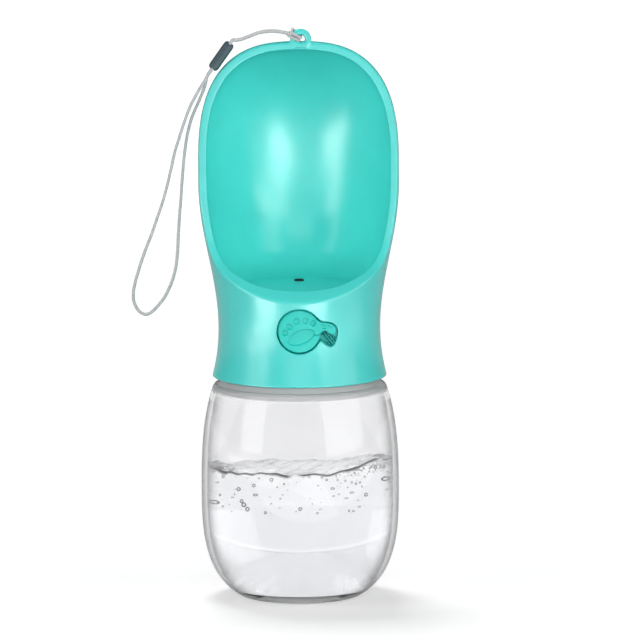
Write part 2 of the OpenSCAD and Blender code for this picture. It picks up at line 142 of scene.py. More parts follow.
# %% strap route
EYELET = np.array([1.0, -1.9, 201.5])
CORD_RADIUS, ROUTE_STEP = 0.6, 0.16
STRAND_OFFSET = 0.7
LOCK_MIDDLE = np.array([-28.4, -5.9])
LOCK_LEAN = math.radians(35.2)
LOCK_LENGTH, LOCK_RADIUS = 11.9, 1.9
LOCK_AXIS = np.array([math.sin(LOCK_LEAN), math.cos(LOCK_LEAN)])
RUN = [(-4.4, 2.1), (-7.6, 2.8), (-11.1, 3), (-14.7, 2.5), (-18.3, 1.2), (-21, 0.2), (-23, -0.2)]
LOOP = [
    (-34.4, -14.8), (-36.2, -17.6), (-38, -20.8), (-40, -24.9), (-41.6, -29.2),
    (-43.5, -34.9), (-45.3, -40.8), (-46.6, -46.6), (-48, -52.4), (-49.6, -58.2),
    (-51.6, -64), (-53.6, -69.8), (-55.9, -75.6), (-57.9, -81.4), (-59.6, -87.2),
    (-60.3, -90.6), (-60.3, -93.8), (-59.4, -96.5), (-57.8, -98.4), (-55.8, -99.1),
    (-53.8, -98.2), (-51.6, -96), (-49.3, -93), (-47.6, -89.8), (-46.2, -86.3),
    (-45, -81.4), (-44.4, -75.6), (-44.1, -69.8), (-43.7, -64), (-43.2, -58.2),
    (-42.8, -52.4), (-42.3, -46.6), (-41.7, -40.8), (-40.8, -34.9), (-39.4, -29.2),
    (-38, -25.6), (-36.4, -22), (-34.8, -18.2), (-34, -15.6),
]


def even_curve(points, spacing):
    points = np.asarray(points, float)
    padded = np.vstack([2 * points[0] - points[1], points, 2 * points[-1] - points[-2]])
    dense = []
    for a, b, c, d in zip(padded, padded[1:], padded[2:], padded[3:]):
        for t in np.linspace(0, 1, 24, endpoint=False):
            dense.append(b + 0.5 * t * (c - a + t * (2 * a - 5 * b + 4 * c - d
                                                     + t * (3 * (b - c) + d - a))))
    dense = np.array(dense + [points[-1]])
    reach = np.append(0, np.cumsum(np.linalg.norm(np.diff(dense, axis=0), axis=1)))
    steps = np.linspace(0, reach[-1], max(2, round(reach[-1] / spacing)) + 1)
    return np.stack([np.interp(steps, reach, dense[:, k]) for k in range(3)], axis=1)


half_lock = LOCK_LENGTH / 2
through_lock = [tuple(LOCK_MIDDLE + s * LOCK_AXIS)
                for s in (half_lock + 0.7, half_lock - 4, 0, 4 - half_lock, -half_lock - 2.4)]
down = RUN + through_lock
strap_points = [EYELET + (x, -STRAND_OFFSET, z) for x, z in down]
for i, (x, z) in enumerate(LOOP):
    side = STRAND_OFFSET * (2 * (i + 1) / (len(LOOP) + 1) - 1)
    strap_points.append(EYELET + (x, side, z))
strap_points += [EYELET + (x, STRAND_OFFSET, z) for x, z in reversed(down)]
strap_route = even_curve(strap_points, ROUTE_STEP)

# %% [markdown]
# ## The braid
# A braided cord is a tube of thin yarns that wind round it both ways and pass over and
# under each other. Modelling each yarn would need thousands of small tubes. Here one tube
# follows the route and its skin is raised into the yarns: two families of spiral ridges,
# each hidden where the other passes over it. The tube carries a UV map, turns round the
# cord against yarn lengths along it, for the colour of the yarns.

# %% sweep a braided tube
YARNS = 8
YARN_LENGTH = 0.9
YARN_RELIEF = 0.06
TUBE_SIDES = 36


def braid_height(turn, along):
    one = np.sin(np.pi * (YARNS * turn + along / YARN_LENGTH)) ** 2
    other = np.sin(np.pi * (YARNS * turn - along / YARN_LENGTH)) ** 2
    over = 0.5 + 0.5 * np.sin(2 * np.pi * YARNS * turn) * np.sin(2 * np.pi * along / YARN_LENGTH)
    return np.maximum(one * (0.55 + 0.45 * over), other * (1 - 0.45 * over))


def carried_frames(route):
    tangents = np.gradient(route, axis=0)
    tangents /= np.linalg.norm(tangents, axis=1)[:, None]
    side = np.cross(tangents[0], (0, 1, 0))
    sides = []
    for t in tangents:
        side = side - t * side.dot(t)
        side /= np.linalg.norm(side)
        sides.append(side)
    sides = np.array(sides)
    return sides, np.cross(tangents, sides)


def braided_tube(name, route, body, replaced):
    sides, others = carried_frames(route)
    spacing = np.linalg.norm(route[1] - route[0])
    turn = np.arange(TUBE_SIDES)[:, None] / TUBE_SIDES
    along = np.arange(len(route))[:, None, None] * spacing
    radius = CORD_RADIUS - YARN_RELIEF * (1 - braid_height(turn, along))
    angle = 2 * np.pi * turn
    points = route[:, None] + radius * (np.cos(angle) * sides[:, None]
                                        + np.sin(angle) * others[:, None])
    points = np.vstack([points.reshape(-1, 3), route[:1], route[-1:]])
    piece = new_piece(name, points, capped_faces(len(route), TUBE_SIDES), body, "grey_cord",
                      replaced)
    where = piece.data.uv_layers.new(name="yarns")
    corner = np.empty(len(piece.data.loops), int)
    piece.data.loops.foreach_get("vertex_index", corner)
    ring = np.minimum(corner // TUBE_SIDES, len(route) - 1)
    uv = np.stack([(corner % TUBE_SIDES) / TUBE_SIDES, ring * spacing / YARN_LENGTH], axis=1)
    starts = np.array([p.loop_start for p in piece.data.polygons])
    sizes = np.array([p.loop_total for p in piece.data.polygons])
    wraps = np.repeat(np.maximum.reduceat(uv[:, 0], starts) > 0.9, sizes) & (uv[:, 0] < 0.1)
    uv[wraps, 0] += 1
    where.data.foreach_set("uv", uv.ravel())
    return piece


strap = braided_tube("strap", strap_route, "head", ["strap_cord"])

# %% [markdown]
# ## The hitch on the eyelet
# The cord is made fast to the eyelet by two turns that lie side by side in its hole. It is
# the same braid on a short coil, so the same function makes it.

# %% hitch
HITCH_ANGLE = math.radians(145)
EYELET_RING, EYELET_WIRE = 2.65, 1.15
HITCH_TURNS, HITCH_WIDTH = 2, 2.6
hitch_out = np.array([math.cos(HITCH_ANGLE), 0, math.sin(HITCH_ANGLE)])
hitch_axis = np.array([-math.sin(HITCH_ANGLE), 0, math.cos(HITCH_ANGLE)])
hitch_reach = EYELET_WIRE + CORD_RADIUS + 0.08
hitch_points = []
for i in range(29):
    a = 2 * math.pi * HITCH_TURNS * i / 28
    out = 2.3 if math.cos(a) < 0 else hitch_reach
    hitch_points.append(
        EYELET + (EYELET_RING + out * math.cos(a)) * hitch_out
        + (0, hitch_reach * math.sin(a), 0) + (i / 28 - 0.5) * HITCH_WIDTH * hitch_axis)
hitch = braided_tube("hitch", even_curve(hitch_points, ROUTE_STEP), "head", ["strap_knot"])

# %% [markdown]
# ## Solid shapes from distances
# A moulded part has no sharp edges: every rim, hole and recess ends in a small round. One
# way to make it is a chain of Boolean and Bevel modifiers, but bevels fail where curved cuts
# meet. Another is to write the part as a distance field, a function that is negative inside
# the plastic, where a smooth maximum rounds each meeting of two shapes by itself. The skin
# is then drawn where the function is zero: a net with one point in each grid cell that the
# skin crosses, pulled exactly onto the zero by a few Newton steps.

# %% smooth meetings
def round_max(a, b, width):
    blend = np.clip(0.5 + 0.5 * (a - b) / width, 0, 1)
    return b + (a - b) * blend + width * blend * (1 - blend)


def round_min(a, b, width):
    return -round_max(-a, -b, width)


def true_distance(shape, x, y, z):
    e = 0.05
    slope = np.sqrt((shape(x + e, y, z) - shape(x - e, y, z)) ** 2
                    + (shape(x, y + e, z) - shape(x, y - e, z)) ** 2
                    + (shape(x, y, z + e) - shape(x, y, z - e)) ** 2) / (2 * e)
    return shape(x, y, z) / np.maximum(slope, 0.25)

# %% [markdown]
# The net. A cell that has corners on both sides of the skin gets a point, at the middle of
# the crossings on its edges. Every grid edge that crosses the skin then gives one face
# between the four cells round it, turned so that it looks out of the plastic.

# %% surface net
def surface_net(field, xs, ys, zs):
    grid = np.meshgrid(xs, ys, zs, indexing="ij", sparse=True)
    value = field(*grid)
    inside = value < 0
    shape = tuple(n - 1 for n in inside.shape)
    corners = list(itertools.product((0, 1), repeat=3))

    def corner(array, c):
        return array[tuple(slice(k, k + n) for k, n in zip(c, shape))]

    count = sum(corner(inside, c).astype(np.int8) for c in corners)
    active = (count > 0) & (count < 8)
    cells = np.argwhere(active)
    number = np.full(shape, -1, np.int64)
    number[active] = np.arange(len(cells))
    total, weight = np.zeros((len(cells), 3)), np.zeros(len(cells))
    axes = (np.asarray(xs), np.asarray(ys), np.asarray(zs))
    for a, b in itertools.combinations(corners, 2):
        if sum(abs(i - j) for i, j in zip(a, b)) != 1:
            continue
        at, to = cells + a, cells + b
        va, vb = value[tuple(at.T)], value[tuple(to.T)]
        crossed = (va < 0) != (vb < 0)
        t = np.where(crossed, va / np.where(crossed, va - vb, 1), 0)[:, None]
        pa, pb = (np.stack([axes[k][spot[:, k]] for k in range(3)], axis=1)
                  for spot in (at, to))
        total += np.where(crossed[:, None], pa + t * (pb - pa), 0)
        weight += crossed
    quads = []
    for axis in range(3):
        across = [(axis + 1) % 3, (axis + 2) % 3]
        low, high = [slice(1, -1)] * 3, [slice(1, -1)] * 3
        low[axis], high[axis] = slice(0, -1), slice(1, None)
        first, second = inside[tuple(low)], inside[tuple(high)]
        at = np.argwhere(first != second)
        at[:, across] += 1
        around = []
        for back in ((1, 1), (0, 1), (0, 0), (1, 0)):
            cell = at.copy()
            cell[:, across] -= back
            around.append(number[tuple(cell.T)])
        around = np.stack(around, axis=1)
        outward = first[first != second]
        quads.append(np.where(outward[:, None], around, around[:, ::-1]))
    return total / weight[:, None], np.vstack(quads)

# %% [markdown]
# The first net still shows the steps of its grid. Moving each point to the middle of its
# neighbours evens the faces out, and a Newton step along the slope of the field brings the
# point back onto the skin. The slope is also the exact direction the skin faces, so it is
# kept for the shading.

# %% settle a net on its skin
SETTLE_ROUNDS, EVEN_OUT = 3, 0.6


def slope_at(field, points):
    e = 0.02
    x, y, z = points.T
    return np.stack([field(x + e, y, z) - field(x - e, y, z),
                     field(x, y + e, z) - field(x, y - e, z),
                     field(x, y, z + e) - field(x, y, z - e)], axis=1) / (2 * e)


def onto_skin(field, points, most):
    slope = slope_at(field, points)
    steepness = np.maximum((slope ** 2).sum(axis=1), 0.1)
    step = slope * (field(*points.T) / steepness)[:, None]
    length = np.maximum(np.linalg.norm(step, axis=1), 1e-9)
    return points - step * np.minimum(1, most / length)[:, None]


def settle(field, points, quads, most):
    ends = np.vstack([quads[:, [i, (i + 1) % 4]] for i in range(4)])
    degree = np.maximum(np.bincount(ends[:, 0], minlength=len(points)), 1)
    for _ in range(SETTLE_ROUNDS):
        middle = np.stack([np.bincount(ends[:, 0], points[ends[:, 1], k], len(points))
                           for k in range(3)], axis=1) / degree[:, None]
        points = onto_skin(field, points + EVEN_OUT * (middle - points), most)
    return onto_skin(field, points, most)


def triangles_of(piece):
    return sum(p.loop_total - 2 for p in piece.data.polygons)


def thin_out(piece, most_triangles):
    triangles = triangles_of(piece)
    if triangles > most_triangles:
        modifier = piece.modifiers.new("thin", "DECIMATE")
        modifier.ratio = most_triangles / triangles
        modifier.use_collapse_triangulate = True
        apply_modifiers(piece)
    print(piece.name, triangles, "triangles, kept", triangles_of(piece))


def skin_piece(name, field, xs, ys, zs, body, slot, replaced, most_triangles):
    points, quads = surface_net(field, xs, ys, zs)
    step = min(np.diff(lines).min() for lines in (xs, ys, zs))
    points = settle(field, points, quads, step)
    piece = new_piece(name, points, quads, body, slot, replaced)
    thin_out(piece, most_triangles)
    flat = np.empty(len(piece.data.vertices) * 3)
    piece.data.vertices.foreach_get("co", flat)
    facing = slope_at(field, flat.reshape(-1, 3) / MM)
    facing /= np.maximum(np.linalg.norm(facing, axis=1), 1e-9)[:, None]
    piece.data.shade_smooth()
    piece.data.normals_split_custom_set_from_vertices(facing.tolist())
    return piece

# %% [markdown]
# ## The head's outline
# Seen from the front the head is a round collar that swells into a tall shell with a domed
# top. Seen from the side its back swells less. Both outlines are simple rules of the height
# above the collar's lower edge, and the trough inside follows the same rules, thinner by the
# wall, which grows thicker near the floor.

# %% outlines of head and trough
COLLAR_Z = 79.7
HEAD_TOP = 120.8
TROUGH_WALL = 2.7
TROUGH_FLOOR = 33.5
TROUGH_TOP = HEAD_TOP - TROUGH_WALL
WAIST_H, WAIST, FOOT_FLARE = 17.3, 29, 2.3
SWELL_H, WIDE_H, WIDE, DOME_POWER = 70.3, 76.1, 36, 2.67
BACK_H, BACK = 55.3, 34
THICKER_H, THICKER_BY, THICKER_OVER = 48.3, 2.43, 12.9


def swell(h, start, end, small, large):
    share = np.clip((h - start) / (end - start), 0, 1)
    return small + (large - small) * (1 - np.cos(np.pi * share)) / 2


def dome(h, start, top, size, power):
    return size * (1 - np.clip((h - start) / (top - start), 0, 1) ** power) ** (1 / power)


def collar_flare(h):
    return FOOT_FLARE * (np.clip(WAIST_H - h, 0, None) / WAIST_H) ** 2


def half_width(h):
    low = swell(h, WAIST_H, SWELL_H, WAIST, WIDE) + collar_flare(h)
    return np.where(h < WIDE_H, low, dome(h, WIDE_H, HEAD_TOP, WIDE, DOME_POWER))


def back_depth(h):
    low = swell(h, WAIST_H, BACK_H, WAIST, BACK) + collar_flare(h)
    return np.where(h < BACK_H, low, dome(h, BACK_H, HEAD_TOP, BACK, 2))


def wall(h):
    return TROUGH_WALL + THICKER_BY * (np.clip(THICKER_H - h, 0, 15) / THICKER_OVER) ** 2


def trough_half_width(h):
    high = dome(h, WIDE_H, TROUGH_TOP, WIDE - TROUGH_WALL, DOME_POWER)
    return np.where(h < WIDE_H, half_width(h) - wall(h), high)


def trough_depth(h):
    high = dome(h, BACK_H, TROUGH_TOP, BACK - TROUGH_WALL, 2)
    return np.where(h < BACK_H, back_depth(h) - wall(h), high)


def egg(width_rule, depth_rule, top):
    def shape(x, y, z):
        h = z - COLLAR_Z
        w, d = np.maximum(width_rule(h), 1e-3), np.maximum(depth_rule(h), 1e-3)
        back = np.maximum((np.sqrt((x / w) ** 2 + (y / d) ** 2) - 1) * w, h - top)
        wide = width_rule(np.minimum(h, WIDE_H))
        climb = np.clip((h - WIDE_H) / (top - WIDE_H), 0, None) ** DOME_POWER
        out = (np.hypot(x, y) / wide) ** DOME_POWER
        front = ((out + climb) ** (1 / DOME_POWER) - 1) * wide
        return np.where(y > 0, back, front)
    return shape


print("head is", 2 * WIDE, "mm at its widest and", 2 * WAIST, "mm at its waist")

# %% [markdown]
# ## The rim
# From the side the trough's edge is a J: a lip that slopes up from the front, a wide bend
# and a long edge that leans back a little. Two straight lines joined by an arc that touches
# both give the distance from that edge.

# %% distance in front of the rim
LIP_SLOPE, RIM_LEAN, RIM_BEND = math.radians(31.5), math.radians(3.6), 17.0
ON_LIP, ON_EDGE = (-20.5, 36.6), (-7, 55.3)
lip_normal = np.array([-math.sin(LIP_SLOPE), math.cos(LIP_SLOPE)])
edge_normal = np.array([-math.cos(RIM_LEAN), math.sin(RIM_LEAN)])
lip_level = lip_normal @ ON_LIP
edge_level = edge_normal @ ON_EDGE
bend_middle = np.linalg.solve([lip_normal, edge_normal],
                              [lip_level + RIM_BEND, edge_level + RIM_BEND])
lip_way = np.array([math.cos(LIP_SLOPE), math.sin(LIP_SLOPE)])
edge_way = np.array([math.sin(RIM_LEAN), math.cos(RIM_LEAN)])


def in_front_of_rim(y, h):
    dy, dh = y - bend_middle[0], h - bend_middle[1]
    from_bend = RIM_BEND - np.hypot(dy, dh)
    on_lip = dy * lip_way[0] + dh * lip_way[1] < 0
    on_edge = dy * edge_way[0] + dh * edge_way[1] > 0
    lip = lip_normal[0] * y + lip_normal[1] * h - lip_level
    edge = edge_normal[0] * y + edge_normal[1] * h - edge_level
    return np.where(on_lip, lip, np.where(on_edge, edge, from_bend))


print("bend of the rim round", np.round(bend_middle, 2))

# %% [markdown]
# ## Flat outlines
# The button's tail, the pocket beside it and the paw print are drawn flat on the front. The
# distance to a drawn outline is the distance to its nearest side, negative inside it. Tail
# and pocket are drawn with corners, and each corner is then cut once to round it.

# %% distance to an outline
BUTTON_Z = 99.8


def to_outline(outline, x, z):
    corners = np.asarray(outline, float)
    nearest, crossings = None, None
    for (x0, z0), (x1, z1) in zip(corners, np.roll(corners, -1, axis=0)):
        dx, dz = x1 - x0, z1 - z0
        t = np.clip(((x - x0) * dx + (z - z0) * dz) / (dx * dx + dz * dz), 0, 1)
        gap = np.hypot(x - x0 - t * dx, z - z0 - t * dz)
        nearest = gap if nearest is None else np.minimum(nearest, gap)
        if dz:
            hit = ((z0 > z) != (z1 > z)) & (x < (z - z0) * dx / dz + x0)
            crossings = hit if crossings is None else crossings ^ hit
    return np.where(crossings, -nearest, nearest)


def cut_corners(start, end):
    return np.stack([0.75 * start + 0.25 * end, 0.25 * start + 0.75 * end],
                    axis=1).reshape(-1, 2)


def rounded_outline(outline):
    corners = np.asarray(outline, float)
    return cut_corners(corners, np.roll(corners, -1, axis=0))


TAIL = rounded_outline([
    (5, 3.5), (6.2, 4.4), (7.1, 3.6), (8, 3.15), (9.2, 3.05), (10.6, 2.85), (12, 2.15),
    (13, 1.1), (13.25, 0.1), (13.05, -0.8), (12.4, -1.4), (11.6, -1.5), (10.5, -1),
    (9.8, -0.2), (9, 0.1), (8.1, -0.2), (7.4, -1.2), (5, -1.5)])
POCKET = rounded_outline([
    (5, 4.5), (6.4, 4.9), (7.4, 4), (8.3, 3.55), (9.3, 3.45), (10.8, 3.25), (12.3, 2.5),
    (13.4, 1.4), (13.75, 0), (13.7, -1.6), (13.3, -3.2), (12.6, -4.9), (11.6, -5.7),
    (10.4, -5.6), (9.2, -4.7), (8, -3.6), (5, -3)])
print("tail outline has", len(TAIL), "corners, pocket", len(POCKET))

# %% [markdown]
# ## The head shell
# Shell, collar, trough and eyelet are one moulding. The field follows how a toolmaker would
# cut the mould: the outside, minus the trough, minus what lies in front of the rim, minus
# the bay for the valve from below, then the well and the pocket for the button. The pocket
# has four slanted ribs on its floor, which grip the thumb. The grid is finer round the
# button, where the details are small.

# %% field of the head
BAY_STEPS = ((28.8, 0.8), (26.9, 10.6), (25.2, 30.9))
BAY_CONE_H = 27.3
BOSS_RADIUS, BOSS_BACK, BOSS_FRONT = 9.3, 21.3, 27
WELL_RADIUS, WELL_BACK, POCKET_BACK, SHAFT_RADIUS, FRONT = 8.1, 22.5, 20.3, 4, 12
RIBS_X, RIBS_Z, RIB_PITCH, RIB_HALF, RIB_REACH = 10.6, -3, 0.9, 0.22, 3.5
OUTLET_Y, OUTLET_RADIUS = 6.4, 1.8


def common(*parts):
    return functools.reduce(np.maximum, parts)


def pocket_ribs(x, y, z):
    dx, dz = x - RIBS_X, z - BUTTON_Z - RIBS_Z
    lean = math.radians(52)
    along = dx * math.cos(lean) - dz * math.sin(lean)
    across = dx * math.sin(lean) + dz * math.cos(lean)
    nearest = np.clip(np.round(across / RIB_PITCH - 0.5) + 0.5, -1.5, 1.5) * RIB_PITCH
    flat = common(np.abs(across - nearest) - RIB_HALF, np.abs(along) - RIB_REACH)
    return round_max(flat, -BOSS_BACK - y, 0.2)


def head_field(x, y, z):
    h = z - COLLAR_Z
    round_z = np.hypot(x, y)
    outside = true_distance(egg(half_width, back_depth, HEAD_TOP), x, y, z)
    inside = true_distance(egg(trough_half_width, trough_depth, TROUGH_TOP), x, y, z)
    fillet = 3.5 + 4.5 * np.clip((y + 4) / 20, 0, 1)
    trough = round_max(inside, TROUGH_FLOOR - h, fillet)
    solid = round_max(np.maximum(outside, -trough), in_front_of_rim(y, h), 0.75)
    solid = round_max(solid, -h, 0.7)
    step, lower, upper = (np.maximum(round_z - radius, h - top) for radius, top in BAY_STEPS)
    cone = (round_z - BAY_STEPS[-1][0]) * 0.75 + (h - BAY_CONE_H) * 0.66
    bay = np.minimum(np.minimum(step, lower), np.maximum(upper, cone))
    solid = round_max(solid, -bay, 0.4)
    from_axis = np.hypot(x, z - BUTTON_Z)
    boss = common(from_axis - BOSS_RADIUS, y + BOSS_BACK, -BOSS_FRONT - y)
    block = common(np.abs(x - 10.5) - 4.5, np.abs(y + 21.65) - 2.55,
                   np.abs(z - BUTTON_Z + 1.1) - 5.9)
    solid = np.minimum(solid, np.maximum(np.minimum(boss, block), round_z - 28.5))
    from_hole = np.hypot(x - EYELET[0], z - EYELET[2])
    ring = np.hypot(from_hole - EYELET_RING, y - EYELET[1]) - EYELET_WIRE
    ring = np.maximum(ring, 1.3 - inside)
    solid = round_min(solid, ring, 1.0)
    well = np.maximum(from_axis - WELL_RADIUS, y + WELL_BACK)
    pocket = round_max(to_outline(POCKET, x, z - BUTTON_Z), y + POCKET_BACK, 0.3)
    pocket = round_max(pocket, -pocket_ribs(x, y, z), 0.15)
    front = y + FRONT
    solid = round_max(solid, -np.maximum(round_min(well, pocket, 0.5), front), 0.42)
    solid = np.maximum(solid, -np.maximum(from_axis - SHAFT_RADIUS, front))
    outlet = common(np.hypot(x, y - OUTLET_Y) - OUTLET_RADIUS, 28 - h, h - 60)
    return round_max(solid, -outlet, 0.3)

# %% [markdown]
# One grid line list for each direction: coarse all over, fine between the button's edges.

# %% head shell
HEAD_STEP, FINE_STEP, BUTTON_STEP, LOCK_STEP = 0.7, 0.3, 0.17, 0.16


def grid_lines(low, high, step, fine_from=0, fine_to=0):
    lines = [low]
    while lines[-1] < high:
        lines.append(lines[-1] + (FINE_STEP if fine_from <= lines[-1] < fine_to else step))
    return np.array(lines, np.float32)


head = skin_piece(
    "head_moulding", head_field,
    grid_lines(-36.7, 36.7, HEAD_STEP, -9, 14.6),
    grid_lines(-36.7, 34.7, HEAD_STEP, -29.6, -25.5),
    grid_lines(79.0, 205.8, HEAD_STEP, 91, 108.6),
    "head", "teal_shell", ["head_shell"], 190000)

# %% [markdown]
# ## The button
# The round button is curved like the collar, a little sunk, with a paw print pressed into
# its face. A short tail stands proud beside it over the pocket, with a line cut along its
# upper edge. Behind the face a hub takes the valve stem. The print has soft edges, so its
# walls come from the same smooth maximum.

# %% field of the button
TOES = [(-5.1, -0.4), (-3.5, 1.75), (-0.95, 3.75), (2.2, 3.9), (4.9, 3)]
PAD_X, PAD_Z, PAD_TURN, PAD_REACH = 0.65, -2.05, math.radians(22), 4.9
BUTTON_RADIUS, BUTTON_FACE, BUTTON_BACK = 7.7, 28.3, 26
TAIL_FACE, TAIL_BACK = 28.8, 27.4
HUB_RADIUS, HUB_END, HUB_BORE = 3.7, 19.4, 1.8
PRINT_FLOOR = 27.5


def paw_outline(x, z):
    toes = functools.reduce(np.minimum, (np.hypot(x - tx, z - tz) - 1.0 for tx, tz in TOES))
    cos, sin = math.cos(PAD_TURN), math.sin(PAD_TURN)
    u = (x - PAD_X) * cos + (z - PAD_Z) * sin
    v = (z - PAD_Z) * cos - (x - PAD_X) * sin
    wide = PAD_REACH - 0.15 * v
    tall = 2.25 + 0.2 * np.clip(1 - (u / PAD_REACH) ** 2, 0, 1)
    pad = (np.sqrt((u / wide) ** 2 + (v / tall) ** 2) - 1) * 2.6
    return np.minimum(toes, pad)


def button_field(x, y, z):
    up = z - BUTTON_Z
    round_z = np.hypot(x, y)
    from_axis = np.hypot(x, up)
    disc = round_max(from_axis - BUTTON_RADIUS, round_z - BUTTON_FACE, 0.6)
    disc = round_max(disc, y + BUTTON_BACK, 0.3)
    edge = to_outline(TAIL, x, up)
    tail = round_max(round_max(edge, round_z - TAIL_FACE, 0.5), TAIL_BACK - round_z, 0.2)
    solid = round_min(disc, tail, 0.5)
    hub = round_max(from_axis - HUB_RADIUS, np.maximum(y + HUB_END, -26.5 - y), 0.3)
    solid = np.minimum(solid, hub)
    solid = round_max(solid, -np.maximum(from_axis - HUB_BORE, -26.4 - y), 0.2)
    print_cut = round_max(paw_outline(x, up), PRINT_FLOOR - round_z, 0.3)
    solid = round_max(solid, -print_cut, 0.28)
    line = common(np.abs(edge + 0.95) - 0.16, 28.5 - round_z, 7.9 - x,
                  0.9 - up + 0.1 * (x - 8))
    return round_max(solid, -line, 0.15)


button = skin_piece(
    "thumb_button", button_field,
    grid_lines(-8.1, 13.7, BUTTON_STEP), grid_lines(-29.1, -19.0, BUTTON_STEP),
    grid_lines(91.7, 107.9, BUTTON_STEP),
    "button", "teal_button", ["button"], 150000)

# %% [markdown]
# ## The cord lock
# A short barrel of soft plastic with rounded ends and one slot, through which both strands
# pass side by side. It sits aslant where the strap turns down.

# %% field of the cord lock
lock_middle = EYELET + (LOCK_MIDDLE[0], 0, LOCK_MIDDLE[1])


def lock_field(x, y, z):
    dx, dy, dz = x - lock_middle[0], y - lock_middle[1], z - lock_middle[2]
    along = dx * LOCK_AXIS[0] + dz * LOCK_AXIS[1]
    across = dx * LOCK_AXIS[1] - dz * LOCK_AXIS[0]
    barrel = round_max(np.hypot(across, dy) - LOCK_RADIUS, np.abs(along) - half_lock, 1.8)
    slot = np.hypot(across, np.clip(np.abs(dy) - STRAND_OFFSET, 0, None)) - 0.7
    return round_max(barrel, -slot, 0.3)


aslant = half_lock * 0.9 + 1.8
lock = skin_piece(
    "cord_lock_barrel", lock_field,
    *(grid_lines(middle - reach, middle + reach, LOCK_STEP)
      for middle, reach in zip(lock_middle, (aslant, 2.3, aslant))),
    "cord_lock", "dark_lock", ["cord_lock"], 60000)

# %% [markdown]
# ## The outlet's sleeve
# Water rises into the trough through a hole in its floor. The rubber grommet between valve
# and shell reaches up into that hole as a thin sleeve, so the hole looks black from above.
# It is a turned part: a flange below the floor and a sleeve through it.

# %% outlet sleeve
def turned(outline, count, rise=None, middle=(0, 0)):
    angle = 2 * np.pi * np.arange(count) / count
    closed = outline[0, 0] > 0
    rows = outline if closed else outline[1:-1]
    radius = np.repeat(rows[:, :1], count, axis=1)
    height = np.repeat(rows[:, 1:], count, axis=1)
    if rise is not None:
        radius = radius + rise(np.broadcast_to(angle, radius.shape), radius, height)
    points = on_rings(radius, angle, height, middle)
    if closed:
        return points, ring_faces(len(rows), len(rows), count)
    ends = [(*middle, outline[0, 1]), (*middle, outline[-1, 1])]
    return np.vstack([points, ends]), capped_faces(len(rows), count)


def softened(points, times):
    points = np.asarray(points, float)
    for _ in range(times):
        points = np.vstack([points[:1], cut_corners(points[:-1], points[1:]), points[-1:]])
    return points


sleeve_outline = softened([
    (1.5, 108.65), (3.2, 108.65), (3.4, 108.85), (3.4, 110.4), (3.2, 110.55), (1.78, 110.55),
    (1.78, 113.5), (1.6, 113.6), (1.2, 113.5), (1.2, 109), (1.5, 108.65)], 2)[:-1]
sleeve = new_piece("outlet_sleeve", *turned(sleeve_outline, 64, middle=(0, OUTLET_Y)),
                   "head", "black_rubber", ["outlet_grommet"])

# %% [markdown]
# ## The bottle
# A blown bottle is round, so its wall is one outline turned about the upright axis: the
# outside from the foot to the mouth, and back down the inside. Turning it in code rather
# than with a Screw modifier lets the neck's surface be raised into the thread on the way, so
# outside, inside and thread stay one closed skin, which glass needs.

# %% outline of the bottle
LEDGE = 77.2
NECK, NECK_INNER, MOUTH = 23.4, 21.2, 86.2
BELLY, BELLY_Z, BOTTLE_WALL = 35.4, 40, 2.0
FOOT_REACH, SHOULDER_REACH = 43, 1.64 * 37.2


def side_radius(z):
    low = BELLY * (1 - (np.clip(BELLY_Z - z, 0, 40) / FOOT_REACH) ** 3) ** (1 / 3)
    high = BELLY * (1 - (np.clip(z - BELLY_Z, 0, 60) / SHOULDER_REACH) ** 2.5) ** 0.4
    return np.where(z < BELLY_Z, low, high)


def side_points(inset, low, high, count):
    z = low + (high - low) * np.linspace(0, 1, count) ** 1.6
    return np.stack([side_radius(z) - inset, z], axis=1)


def on_side(z, inset=0.0):
    return float(side_radius(np.array(z))) - inset


foot = softened([(0, 1.8), (8.0, 1.8), (8.5, 1.8), (8.9, 1.1), (9.5, 1.1), (12.9, 1.1),
                 (13.4, 1.1), (14.2, 0), (15.2, 0), (20.2, 0), (on_side(0.6), 0.6)], 3)
side = side_points(0, 0.7, 73.5, 70)
shoulder = softened([(on_side(73.6), 73.6), (31.38, 75.6), (30.9, 76.6), (29.8, LEDGE),
                     (27.5, LEDGE)], 3)
neck = np.array([(24.5, LEDGE), (NECK + 0.1, LEDGE), (NECK, LEDGE + 0.1)])
thread_rows = np.stack([np.full(54, NECK), np.linspace(LEDGE + 0.25, MOUTH - 0.75, 54)], axis=1)
mouth = softened([(NECK, MOUTH - 0.6), (NECK, MOUTH), (NECK_INNER, MOUTH),
                  (NECK_INNER, MOUTH - 1)], 3)
inner_neck = softened([(NECK_INNER, MOUTH - 2), (NECK_INNER, 77), (NECK_INNER, 75), (23.4, 75),
                       (29, 75), (on_side(74.6, BOTTLE_WALL), 74.4),
                       (on_side(71, BOTTLE_WALL), 71)], 3)
inner_side = side_points(BOTTLE_WALL, 3.9, 70.8, 60)[::-1]
inner_foot = softened([(on_side(3.8, BOTTLE_WALL), 3.8), (23.0, 3.2), (19.0, 2.6), (14.3, 2.5),
                       (9.6, 3.5), (8.6, 3.9), (7.6, 3.9), (0, 4)], 3)
outline = np.vstack([foot, side, shoulder, neck, thread_rows, mouth, inner_neck, inner_side,
                     inner_foot])
print("bottle outline has", len(outline), "points")

# %% [markdown]
# Thread height at a place on the neck: the ridge climbs four millimetres in one turn, is
# about two wide at its root and one at its crest, and runs out at both ends.

# %% turn the bottle
THREAD_START, THREAD_PITCH, THREAD_TURNS, THREAD_HEIGHT = 2.2, 4, 1.375, 1.5


